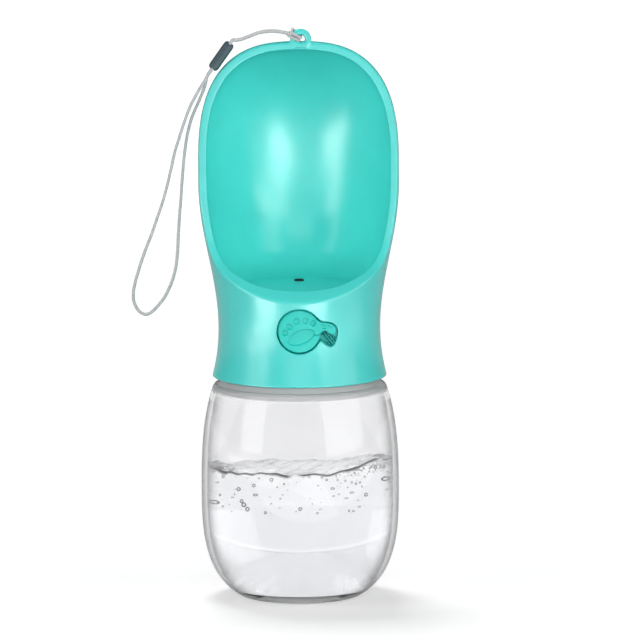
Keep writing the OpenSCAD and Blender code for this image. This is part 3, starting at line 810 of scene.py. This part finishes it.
def thread_rise(angle, z):
    rise = np.zeros_like(z)
    for lap in (-1, 0, 1):
        climbed = angle / (2 * np.pi) + lap
        centre = LEDGE + THREAD_START + THREAD_PITCH * climbed
        fade = np.clip(np.minimum(climbed, THREAD_TURNS - climbed) * 12, 0, 1)
        ridge = np.clip((1.2 - np.abs(z - centre)) / 0.7, 0, 1)
        rise = np.maximum(rise, THREAD_HEIGHT * fade * ridge)
    return rise


def neck_rise(angle, radius, z):
    on_neck = (np.abs(radius - NECK) < 0.01) & (z > LEDGE + 0.2)
    return np.where(on_neck, thread_rise(angle, z), 0)


bottle = new_piece("clear_bottle_body", *turned(outline, 192, neck_rise),
                   "bottle", "clear_bottle", ["bottle"])

# %% [markdown]
# ## The closing seal
# A band of clear silicone shows between bottle and head. It is a turned ring with rounded
# corners.

# %% seal band
band = softened([(25.4, 77.2), (28.2, 77.2), (28.7, 77.2), (28.7, 78), (28.7, 79.7), (28.7, 80.5),
                 (28.2, 80.5), (25.4, 80.5), (25.2, 80.3), (25.2, 77.4), (25.4, 77.2)], 3)[:-1]
seal = new_piece("seal_band", *turned(band, 144), "seal", "pale_silicone", ["seal_ring"])

# %% [markdown]
# ## The water
# The bottle is a little more than half full and has just been moved, so the surface leans,
# climbs the wall on the right and ripples. The water is a closed body that stops a hair
# short of the wall. Its top is a grid of rings whose height comes from one rule, and each
# column of the side ends at that height.

# %% water
WATER_GAP = 0.06
WATER_LEVEL = 46.4
COUNT, SIDE_ROWS, TOP_RINGS = 192, 60, 60


def water_level(x, y):
    along = np.interp(x, [-34, -31, -27, -22, -12, 0, 6, 10, 16, 22, 27, 34],
                      [3.4, 2.2, 0.6, 0.1, 0.1, -0.2, -0.2, 0.2, 1.4, 3.4, 4.8, 5.2])
    ripple = (0.28 * np.sin(x / 2.3 + y / 5) + 0.2 * np.sin(x / 1.1 - y / 2.1)
              + 0.25 * np.sin(y / 3 + x / 9))
    return WATER_LEVEL - 0.08 * y + along * (0.75 - y / 130) + ripple


def inner_radius(z):
    return side_radius(z) - BOTTLE_WALL - WATER_GAP


angle = 2 * np.pi * np.arange(COUNT) / COUNT
top = water_level(32.8 * np.cos(angle), 32.8 * np.sin(angle))
floor = inner_foot[::-1] + (0, WATER_GAP)
floor[1:, 0] -= WATER_GAP / 2
share = 1 - (1 - np.linspace(0, 1, SIDE_ROWS + 1)[1:, None]) ** 1.6
side_z = floor[-1, 1] + (top - floor[-1, 1]) * share
side_r = inner_radius(side_z)
bottom_r = np.repeat(floor[1:, :1], COUNT, axis=1)
bottom_z = np.repeat(floor[1:, 1:], COUNT, axis=1)
top_r = side_r[-1] * (1 - np.linspace(0, 1, TOP_RINGS + 1)[1:-1, None] ** 1.5)
top_z = water_level(top_r * np.cos(angle), top_r * np.sin(angle))
points = on_rings(np.vstack([bottom_r, side_r, top_r]), angle,
                  np.vstack([bottom_z, side_z, top_z]))
water_rows = len(points) // COUNT
ends = [(0, 0, floor[0, 1]), (0, 0, float(water_level(np.array(0.), np.array(0.))))]
water = new_piece("water", np.vstack([points, ends]), capped_faces(water_rows, COUNT),
                  "bottle", "clear_bottle")

# %% [markdown]
# Where water meets the wall it climbs a little, and that curl turns the light away, so the
# waterline reads as a dark thread of uneven strength. Here that thread is painted on as painted
# shade, strongest at the front. Two rings on the water's floor, over the steep steps of the
# bottle's foot, get the same painted shade for the light those steps send sideways. The open
# surface carries fine ripples. Both are kept on the mesh as numbers that the material reads.

# %% marks on the water
def mark(piece, name, values):
    numbers = piece.data.attributes.new(name, "FLOAT", "POINT").data
    numbers.foreach_set("value", np.asarray(values, np.float32))


on_bottom, on_wall, on_top = (np.zeros_like(part) for part in (bottom_r, side_r, top_r))
below_top = np.vstack([top - bottom_z, top - side_z, on_top])
from_wall = np.vstack([on_bottom, on_wall, side_r[-1] - top_r])
# Painted shade along the waterline: a dark thread, broken here and there, strongest at the front.
broken = (0.62 + 0.3 * np.sin(5 * angle + 0.7) + 0.25 * np.sin(13 * angle)
          + 0.2 * np.sin(29 * angle + 2))
facing_front = 0.3 + 0.7 / (1 + np.exp(8 * np.sin(angle)))
thread_width = 0.6 + 0.5 * np.clip(np.sin(7 * angle + 1.3) + np.sin(17 * angle), 0, 1)
line = np.exp(-(below_top / thread_width) ** 4 - (from_wall / 0.4) ** 2)
line = line * np.clip(3.5 * broken, 0.2, 1) * facing_front
# Painted shade: two dark rings on the water's floor, over the steep steps of the bottle's foot.
painted_floor_rings = (np.exp(-((bottom_r - 8.7) / 0.28) ** 2)
               + np.exp(-((bottom_r - 13.7) / 0.3) ** 2))
line = np.maximum(line, 0.7 * np.vstack([painted_floor_rings, on_wall, on_top]))
surface = np.vstack([on_bottom, on_wall, on_top + 1])
nothing = np.zeros(len(bottle.data.vertices))
for piece, contact, opened in (
        (water, np.append(line.ravel(), (0, 0)), np.append(surface.ravel(), (0, 1))),
        (bottle, nothing, nothing)):
    mark(piece, "painted dark lines", contact)
    mark(piece, "open surface", opened)
print("painted dark lines on", int((line > 0.3).sum()), "points")

# %% [markdown]
# ## Materials: what they share
# Every material here is a small tree of nodes. A helper adds a node and fills its inputs,
# each with a number or with another node's output, so a tree reads like a sum. Colours are
# named as they look on screen and are turned into the linear numbers that nodes use.

# %% node helpers
def give(socket, value):
    if isinstance(value, bpy.types.NodeSocket):
        value.id_data.links.new(value, socket)
    else:
        socket.default_value = value


def put(node, *first, **named):
    for name, value in named.items():
        if hasattr(node, name):
            setattr(node, name, value)
        else:
            give(node.inputs[name.replace("_", " ")], value)
    for socket, value in zip(node.inputs, first):
        give(socket, value)
    return node


def add(tree, kind, *first, **named):
    return put(tree.nodes.new(kind), *first, **named)


def maths(tree, operation, *terms):
    return add(tree, "ShaderNodeMath", *terms, operation=operation).outputs[0]


def spread(tree, value, *limits):
    return add(tree, "ShaderNodeMapRange", value, *limits).outputs["Result"]


def ramp(tree, share, *marks):
    node = add(tree, "ShaderNodeValToRGB", share)
    stops = node.color_ramp.elements
    for stop, (place, colour) in zip(stops, (marks[0], marks[-1])):
        stop.position, stop.color = place, colour
    for place, colour in marks[1:-1]:
        stops.new(place).color = colour
    return node.outputs["Color"]


def blend(tree, share, one, two, **named):
    node = add(tree, "ShaderNodeMix", share, data_type="RGBA", **named)
    give(node.inputs[6], one)
    give(node.inputs[7], two)
    return node.outputs[2]


def new_group(name, kind, inputs, outputs):
    tree = bpy.data.node_groups.new(name, kind)
    for way, sockets in (("INPUT", inputs), ("OUTPUT", outputs)):
        for socket_name, socket_type, value in sockets:
            socket = tree.interface.new_socket(
                socket_name, in_out=way, socket_type="NodeSocket" + socket_type)
            if value is not None:
                socket.default_value = value
    return tree, tree.nodes.new("NodeGroupInput").outputs, tree.nodes.new("NodeGroupOutput")


def new_material(name):
    material = bpy.data.materials.new(name)
    material.use_nodes = True
    return material, material.node_tree, material.node_tree.nodes["Principled BSDF"]


def linear(red, green, blue):
    parts = [c / 255 for c in (red, green, blue)]
    return [c / 12.92 if c <= 0.04045 else ((c + 0.055) / 1.055) ** 2.4 for c in parts] + [1]

# %% [markdown]
# Moulded plastic is never one flat colour. A faint cloudiness runs through it, the mould
# leaves a fine grain and the grain scatters light a little unevenly. The same effect serves
# all the plastics and rubbers here, so it is one node group with its own sizes for each.

# %% moulded finish group
def moulded_finish():
    tree, given, result = new_group(
        "moulded finish", "ShaderNodeTree",
        [("Colour", "Color", (0.5, 0.5, 0.5, 1)), ("Cloudiness", "Float", 0.05),
         ("Grain Scale", "Float", 2500.0), ("Grain Depth", "Float", 0.05),
         ("Gloss Low", "Float", 0.3), ("Gloss High", "Float", 0.4)],
        [("Colour", "Color", None), ("Roughness", "Float", None), ("Normal", "Vector", None)])
    place = add(tree, "ShaderNodeTexCoord").outputs["Object"]
    cloud = add(tree, "ShaderNodeTexNoise", Vector=place, Scale=55.0, Detail=3.0)
    grain = add(tree, "ShaderNodeTexNoise", Vector=place, Scale=given["Grain Scale"],
                Detail=2.0).outputs["Fac"]
    shift = spread(tree, cloud.outputs["Fac"], 0.3, 0.7,
                   maths(tree, "SUBTRACT", 1, given["Cloudiness"]),
                   maths(tree, "ADD", 1, given["Cloudiness"]))
    tint = add(tree, "ShaderNodeHueSaturation", Color=given["Colour"], Value=shift)
    gloss = spread(tree, grain, 0, 1, given["Gloss Low"], given["Gloss High"])
    bump = add(tree, "ShaderNodeBump", Strength=given["Grain Depth"], Distance=0.0001,
               Height=grain)
    put(result, Colour=tint.outputs["Color"], Roughness=gloss, Normal=bump.outputs["Normal"])
    return tree


FINISH = moulded_finish()


def moulded(name, colour, scale=2200.0, gloss=(0.3, 0.4), **shine):
    material, tree, shader = new_material(name)
    finish = add(tree, "ShaderNodeGroup", node_tree=FINISH, Colour=colour, Cloudiness=0.04,
                 Grain_Scale=scale, Grain_Depth=0.08, Gloss_Low=gloss[0],
                 Gloss_High=gloss[1]).outputs
    put(shader, Base_Color=finish["Colour"], Roughness=finish["Roughness"],
        Normal=finish["Normal"], **shine)
    return material

# %% [markdown]
# ## Plastics and rubbers
# The shell and the button are satin ABS, the button a little stronger in colour. The valve
# inside is white, its seals are pale silicone and black rubber, the cord lock a dark
# softer plastic.

# %% moulded materials
teal_shell = moulded("satin teal plastic", linear(84, 226, 219), gloss=(0.2, 0.26),
                     Specular_IOR_Level=0.6)
teal_button = moulded("button teal plastic", linear(36, 212, 200), gloss=(0.28, 0.36))
white_plastic = moulded("white valve plastic", linear(232, 234, 236))
pale_silicone = moulded("pale silicone", linear(205, 208, 208), gloss=(0.25, 0.4),
                        Transmission_Weight=0.35)
black_rubber = moulded("black rubber", linear(38, 38, 42), gloss=(0.5, 0.65))
dark_lock = moulded("dark lock plastic", linear(64, 84, 91), gloss=(0.38, 0.5))
spring_steel = moulded("spring steel", linear(176, 178, 182), scale=900.0, gloss=(0.2, 0.32),
                       Metallic=1.0)


def dress(piece, material):
    if piece.material_slots:
        for slot in piece.material_slots:
            slot.material = material
    else:
        piece.data.materials.append(material)


for piece, material in ((head, teal_shell), (button, teal_button), (lock, dark_lock),
                        (seal, pale_silicone), (sleeve, black_rubber)):
    dress(piece, material)
INSIDE = {
    "threaded_ring": teal_shell, "valve_housing": white_plastic, "housing_seal": pale_silicone,
    "gland_ring": white_plastic, "rod_seal": black_rubber, "valve_stem": white_plastic,
    "poppet_seal": black_rubber, "return_spring": spring_steel, "spring_cap": white_plastic,
    "cap_seal": pale_silicone, "button_clip": spring_steel}
for node, material in INSIDE.items():
    dress(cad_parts[node], material)
print("dressed", len(INSIDE), "inner parts")

# %% [markdown]
# ## Braided yarn
# The yarns are light grey with darker flecks where a second colour is braided in, and the
# valleys between them are darker. The pattern follows the UV map, so it stays on the yarns
# round every bend.

# %% cord material
def yarn_material():
    material, tree, shader = new_material("braided grey yarn")
    where = add(tree, "ShaderNodeUVMap", uv_map="yarns").outputs["UV"]
    stretch = add(tree, "ShaderNodeMapping", Vector=where, Scale=(YARNS, 1, 1)).outputs["Vector"]
    fleck = add(tree, "ShaderNodeTexVoronoi", Vector=stretch, Scale=1.6).outputs["Distance"]
    fine = add(tree, "ShaderNodeTexNoise", Vector=stretch, Scale=14.0, Detail=2.0).outputs
    yarn = ramp(tree, fleck, (0.1, linear(112, 118, 122)), (0.34, linear(214, 217, 219)))
    bump = add(tree, "ShaderNodeBump", Strength=0.4, Distance=0.00005, Height=fine["Fac"])
    put(shader, Base_Color=blend(tree, 0.3, yarn, fine["Color"], blend_type="MULTIPLY"),
        Normal=bump.outputs["Normal"], Roughness=0.75, Sheen_Weight=0.2)
    return material


braid = yarn_material()
dress(strap, braid)
dress(hitch, braid)

# %% [markdown]
# ## Clear plastic and water
# Glass needs three things to look right: a closed skin, an edge that darkens where the wall is
# seen along its length, and a way for the lamps to shine through, as clear plastic casts hardly
# any shadow. Layer Weight gives the edge: the colour turns grey where a surface is seen edge-on,
# a painted shade for the dark that a curved clear skin shows there. A Light Path switch makes the
# material plainly transparent to shadow rays. From its shoulder up the bottle has no dark edge
# and is a little milky. The water's painted dark lines also darken this colour.

# %% clear material
# Near-black colour of the painted shade along the waterline and on the water's floor rings.
PAINTED_DARK_LINE = linear(16, 18, 20)


def clear_material(name, middle, edge, edge_from, edge_to, ior, roughness, shadow,
                   top=1.0, frosted=1.0):
    material, tree, shader = new_material(name)
    place = add(tree, "ShaderNodeTexCoord").outputs["Object"]
    height = add(tree, "ShaderNodeSeparateXYZ", Vector=place).outputs["Z"]
    facing = add(tree, "ShaderNodeLayerWeight", Blend=0.5).outputs["Facing"]
    under = spread(tree, height, top, top + 0.003, 1.0, 0.0)
    tone = ramp(tree, maths(tree, "MULTIPLY", facing, under), (edge_from, middle),
                (edge_to, edge))
    cloud = add(tree, "ShaderNodeTexNoise", Vector=place, Scale=70.0, Detail=2.0)
    tint = add(tree, "ShaderNodeHueSaturation", Color=tone,
               Value=spread(tree, cloud.outputs["Fac"], 0.3, 0.7, 0.985, 1.0))
    # Painted shade: where the water's dark lines are marked, the colour turns near black and no
    # light passes.
    thread = add(tree, "ShaderNodeAttribute", attribute_name="painted dark lines").outputs["Fac"]
    frost = spread(tree, height, frosted, frosted + 0.0007, 1.0, 0.5)
    surface = add(tree, "ShaderNodeAttribute", attribute_name="open surface").outputs["Fac"]
    ripple = add(tree, "ShaderNodeTexNoise", Vector=place, Scale=620.0, Detail=3.0)
    bump = add(tree, "ShaderNodeBump", Strength=surface, Distance=0.0004,
               Height=ripple.outputs["Fac"])
    put(shader, Base_Color=blend(tree, thread, tint.outputs["Color"], PAINTED_DARK_LINE),
        Transmission_Weight=maths(tree, "MULTIPLY", frost, maths(tree, "SUBTRACT", 1, thread)),
        Normal=bump.outputs["Normal"], IOR=ior, Roughness=roughness)
    shadow_ray = add(tree, "ShaderNodeLightPath").outputs["Is Shadow Ray"]
    through = add(tree, "ShaderNodeBsdfTransparent", Color=shadow)
    choose = add(tree, "ShaderNodeMixShader", shadow_ray, shader.outputs["BSDF"],
                 through.outputs["BSDF"])
    put(tree.nodes["Material Output"], Surface=choose.outputs["Shader"])
    return material


def grey(value):
    return (value, value, value, 1)


clear_plastic = clear_material(
    "clear bottle plastic", linear(247, 247, 248), linear(104, 106, 108), 0.52, 0.84,
    ior=1.45, roughness=0.02, shadow=grey(0.62), top=0.0715, frosted=0.0744)
water_clear = clear_material(
    "water", linear(252, 253, 254), linear(120, 124, 128), 0.8, 1.0,
    ior=1.33, roughness=0.0, shadow=grey(0.96))
# Painted shade: the air bubbles' edge colour is nearly black, for the light their curved skin
# turns away.
bubble_clear = clear_material(
    "air bubble", linear(244, 245, 246), linear(8, 9, 11), 0.06, 0.36,
    ior=1.02, roughness=0.0, shadow=grey(0.9))
dress(bottle, clear_plastic)
dress(water, water_clear)

# %% [markdown]
# ## Bubbles
# Air that the splash has mixed in hangs below the surface as small bubbles, most of them
# near the wall, and lies along the waterline. Hundreds of spheres placed by hand would be
# dull work, so a Geometry Nodes tree scatters them: points on a hidden band inside the
# bottle, pushed inwards by a chance depth, each given a small ball of a chance size. The
# seed is fixed, so every run makes the same bubbles.

# %% bubble tree
SIZE_SKEW = 2.2


def bubble_tree():
    tree, given, result = new_group(
        "scatter bubbles", "GeometryNodeTree",
        [("Geometry", "Geometry", None), ("Density", "Float", 10.0), ("Smallest", "Float", 0.1),
         ("Largest", "Float", 0.5), ("Depth", "Float", 0.01), ("Seed", "Int", 1),
         ("Material", "Material", None)],
        [("Geometry", "Geometry", None)])
    scatter = add(tree, "GeometryNodeDistributePointsOnFaces", Mesh=given["Geometry"],
                  Density=given["Density"], Seed=given["Seed"]).outputs
    chance = add(tree, "FunctionNodeRandomValue", data_type="FLOAT", Seed=given["Seed"])
    deep = maths(tree, "MULTIPLY", chance.outputs[1], given["Depth"])
    push = add(tree, "ShaderNodeVectorMath", scatter["Normal"], operation="SCALE", Scale=deep)
    move = add(tree, "GeometryNodeSetPosition", Geometry=scatter["Points"],
               Offset=push.outputs["Vector"])
    ball = add(tree, "GeometryNodeMeshIcoSphere", Radius=1.0, Subdivisions=2)
    size = add(tree, "FunctionNodeRandomValue", data_type="FLOAT", Seed=7)
    scale = spread(tree, maths(tree, "POWER", size.outputs[1], SIZE_SKEW), 0, 1,
                   given["Smallest"], given["Largest"])
    place = add(tree, "GeometryNodeInstanceOnPoints", Points=move.outputs["Geometry"],
                Instance=ball.outputs["Mesh"], Scale=scale)
    real = add(tree, "GeometryNodeRealizeInstances", Geometry=place.outputs["Instances"])
    smooth = add(tree, "GeometryNodeSetShadeSmooth", Geometry=real.outputs["Geometry"])
    paint = add(tree, "GeometryNodeSetMaterial", Geometry=smooth.outputs["Geometry"],
                Material=given["Material"])
    put(result, Geometry=paint.outputs["Geometry"])
    return tree


BUBBLES = bubble_tree()
FACES_OF_BALL = 80


def bubbles_on(name, points, faces, **sizes):
    piece = placed(name, mesh_of(name, points, faces))
    modifier = piece.modifiers.new("bubbles", "NODES")
    modifier.node_group = BUBBLES
    for item in BUBBLES.interface.items_tree:
        if item.in_out == "INPUT" and item.name in sizes:
            modifier[item.identifier] = sizes[item.name]
    apply_modifiers(piece)
    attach(piece, "bottle")
    print(name, len(piece.data.polygons) // FACES_OF_BALL, "bubbles")

# %% [markdown]
# The band for the hanging bubbles runs round the inside of the wall and faces inwards, from
# below the waterline down to where the photograph shows the last ones. The waterline's own
# band is narrow and just under the surface. The third band covers only the right side, where
# the splash is thickest.

# %% scatter the bubbles
def inner_band(depths, inset, first=0.0, last=360.0):
    count = 96
    angle = np.radians(first + (last - first) * np.arange(count) / count)
    edge = water_level(32 * np.cos(angle), 32 * np.sin(angle))
    height = edge - np.array(depths)[:, None]
    faces = ring_faces(len(depths) - 1, len(depths), count)
    if last - first < 360:
        faces = [face for face in faces if face[0] < face[1]]
    return on_rings(inner_radius(height) - inset, angle, height), faces


bubbles_on("hanging_bubbles", *inner_band([1.6, 6, 11, 17], 1.1), Density=34000.0,
           Smallest=0.00016, Largest=0.0009, Depth=0.008, Seed=11, Material=bubble_clear)
bubbles_on("waterline_bubbles", *inner_band([0.75, 1.9], 0.8), Density=160000.0,
           Smallest=0.00015, Largest=0.0005, Depth=0.002, Seed=23, Material=bubble_clear)
bubbles_on("splash_bubbles", *inner_band([0.9, 2.5, 5.5], 1.0, 292, 356), Density=380000.0,
           Smallest=0.00014, Largest=0.0005, Depth=0.003, Seed=5, Material=bubble_clear)

# %% [markdown]
# ## Studio
# The photograph is a product shot on white. The floor and the world look plain white to the
# camera and to glass, while the lamps alone decide how bright the object is. Close to the
# bottle the lamps light the floor well, and further out they give it less, so the floor's
# own glow grows with distance and the sum stays white. Glossy plastic mirrors a part of it.
# A pale shadow is left, as the glow is never the whole.

# %% floor and world
GLOW = ((0.05, 0.27), (0.3, 0.32), (0.5, 0.37), (0.7, 0.49), (0.85, 0.56), (1.0, 0.84))
MIRRORED = 0.45
PAPER_HIDDEN, PAPER_SEEN = grey(0.12), grey(0.95)
FLOOR_HALF = 6000


def floor_material():
    material, tree, shader = new_material("white floor")
    tree.nodes.remove(shader)
    place = add(tree, "ShaderNodeTexCoord").outputs["Object"]
    away = add(tree, "ShaderNodeVectorMath", place, operation="LENGTH").outputs["Value"]
    stops = [(distance, grey(strength)) for distance, strength in GLOW]
    glow = add(tree, "ShaderNodeEmission", Color=ramp(tree, away, *stops))
    dark = add(tree, "ShaderNodeEmission", Strength=0.0)
    rays = add(tree, "ShaderNodeLightPath").outputs
    glint = maths(tree, "MULTIPLY", rays["Is Glossy Ray"], MIRRORED)
    seen = maths(tree, "MAXIMUM", rays["Is Camera Ray"], glint)
    seen = maths(tree, "MAXIMUM", seen, rays["Is Transmission Ray"])
    paper = add(tree, "ShaderNodeBsdfDiffuse", Color=blend(tree, seen, PAPER_HIDDEN, PAPER_SEEN))
    choose = add(tree, "ShaderNodeMixShader", seen, dark.outputs[0], glow.outputs[0])
    both = add(tree, "ShaderNodeAddShader", paper.outputs[0], choose.outputs[0])
    put(tree.nodes["Material Output"], Surface=both.outputs[0])
    return material


floor_corners = [(x * FLOOR_HALF, y * FLOOR_HALF, 0)
                 for x, y in ((-1, -1), (1, -1), (1, 1), (-1, 1))]
floor_sheet = placed("floor", mesh_of("floor", floor_corners, [(0, 1, 2, 3)]))
floor_sheet.data.materials.append(floor_material())

world = bpy.data.worlds.new("studio")
bpy.context.scene.world = world
world.use_nodes = True
tree = world.node_tree
fill = put(tree.nodes["Background"], Color=grey(1), Strength=0.1)
white = add(tree, "ShaderNodeBackground", Color=grey(1), Strength=1.0)
rays = add(tree, "ShaderNodeLightPath").outputs
seen = maths(tree, "MAXIMUM", rays["Is Camera Ray"], rays["Is Transmission Ray"])
choose = add(tree, "ShaderNodeMixShader", seen, fill.outputs[0], white.outputs[0])
put(tree.nodes["World Output"], Surface=choose.outputs[0])
print("floor glows from", GLOW[0][1], "near the bottle to", GLOW[-1][1], "a metre away")

# %% [markdown]
# ## Lamps
# Two tall softboxes stand at the sides, a little in front, and draw the long upright
# highlights on the collar and the bottle. Three panels near the floor give the lower parts
# something bright to mirror. Inside the bowl the wall leans back and mirrors the floor in
# front, so its two highlights come from narrow strips there, three in a row on each side.
# The strips and two more upright boxes shine on the head only, or they would leave white
# lines on the water. Three low fills light the plastic evenly, and a fill from above and
# behind lays the shadow forward. No mirror image of the fills shows.

# %% lamps
def lamp(name, place, aim, width, tall, power):
    light = bpy.data.lights.new(name, "AREA")
    light.shape, light.size, light.size_y, light.energy = "RECTANGLE", width, tall, power
    thing = placed(name, light)
    thing.location = place
    thing.rotation_euler = (Vector(aim) - Vector(place)).to_track_quat("-Z", "Y").to_euler()
    return thing


def hide_from(thing, *rays):
    for kind in rays:
        setattr(thing, "visible_" + kind, False)


def around(azimuth, distance, height):
    a = math.radians(azimuth)
    return (distance * math.sin(a), -distance * math.cos(a), height)


def softbox(name, azimuth, distance, height, width, tall, power):
    return lamp(name, around(azimuth, distance, height), (0, 0, 0.12), width, tall, power)


def floor_strip(name, azimuth, near, far, width, power, height=0.01):
    middle = (near + far) / 2
    strip = lamp(name, around(azimuth, middle, height), around(azimuth, middle, 1),
                 width, far - near, power)
    strip.rotation_euler = (math.pi, 0, -math.radians(azimuth))
    hide_from(strip, "diffuse", "camera", "transmission")
    return strip


def soft_fill(name, azimuth, power):
    hide_from(softbox(name, azimuth, 1.3, 0.3, 0.8, 0.6, power), "glossy", "transmission")


softbox("left softbox", -60, 0.9, 0.42, 0.52, 0.8, 2.0)
softbox("right softbox", 56, 0.9, 0.42, 0.95, 0.8, 3.6)
floor_strip("left floor panel", -64, 0.2, 0.9, 0.32, 1.05)
floor_strip("right floor panel", 53, 0.2, 0.9, 0.67, 2.2)
floor_strip("middle floor panel", -8, 0.17, 0.5, 0.4, 0.6, 0.005)
head_only = bpy.data.collections.new("lit by the strips")
head_only.objects.link(head)
for azimuth, near, far, width, power in (
        (-47, 0.17, 0.3, 0.1, 0.36), (-54, 0.3, 0.5, 0.12, 0.6), (-60, 0.5, 1.3, 0.18, 7.5),
        (21, 0.17, 0.3, 0.1, 0.36), (27, 0.3, 0.5, 0.12, 0.52), (30, 0.5, 1.3, 0.18, 7.0)):
    strip = floor_strip("floor strip", azimuth, near, far, width, power, 0.015)
    strip.light_linking.receiver_collection = head_only
for name, azimuth in (("left upright", -50), ("right upright", 32)):
    upright = softbox(name, azimuth, 1.35, 0.2, 0.3, 0.4, 0.6)
    hide_from(upright, "diffuse", "transmission")
    upright.light_linking.receiver_collection = head_only
for name, azimuth, power in (("left fill", -75, 3.0), ("front fill", 0, 9.2),
                             ("right fill", 75, 1.6)):
    soft_fill(name, azimuth, power)
hide_from(lamp("top fill", (-0.15, 0.45, 1.4), (0, 0, 0), 0.4, 0.4, 9.0),
          "glossy", "transmission")
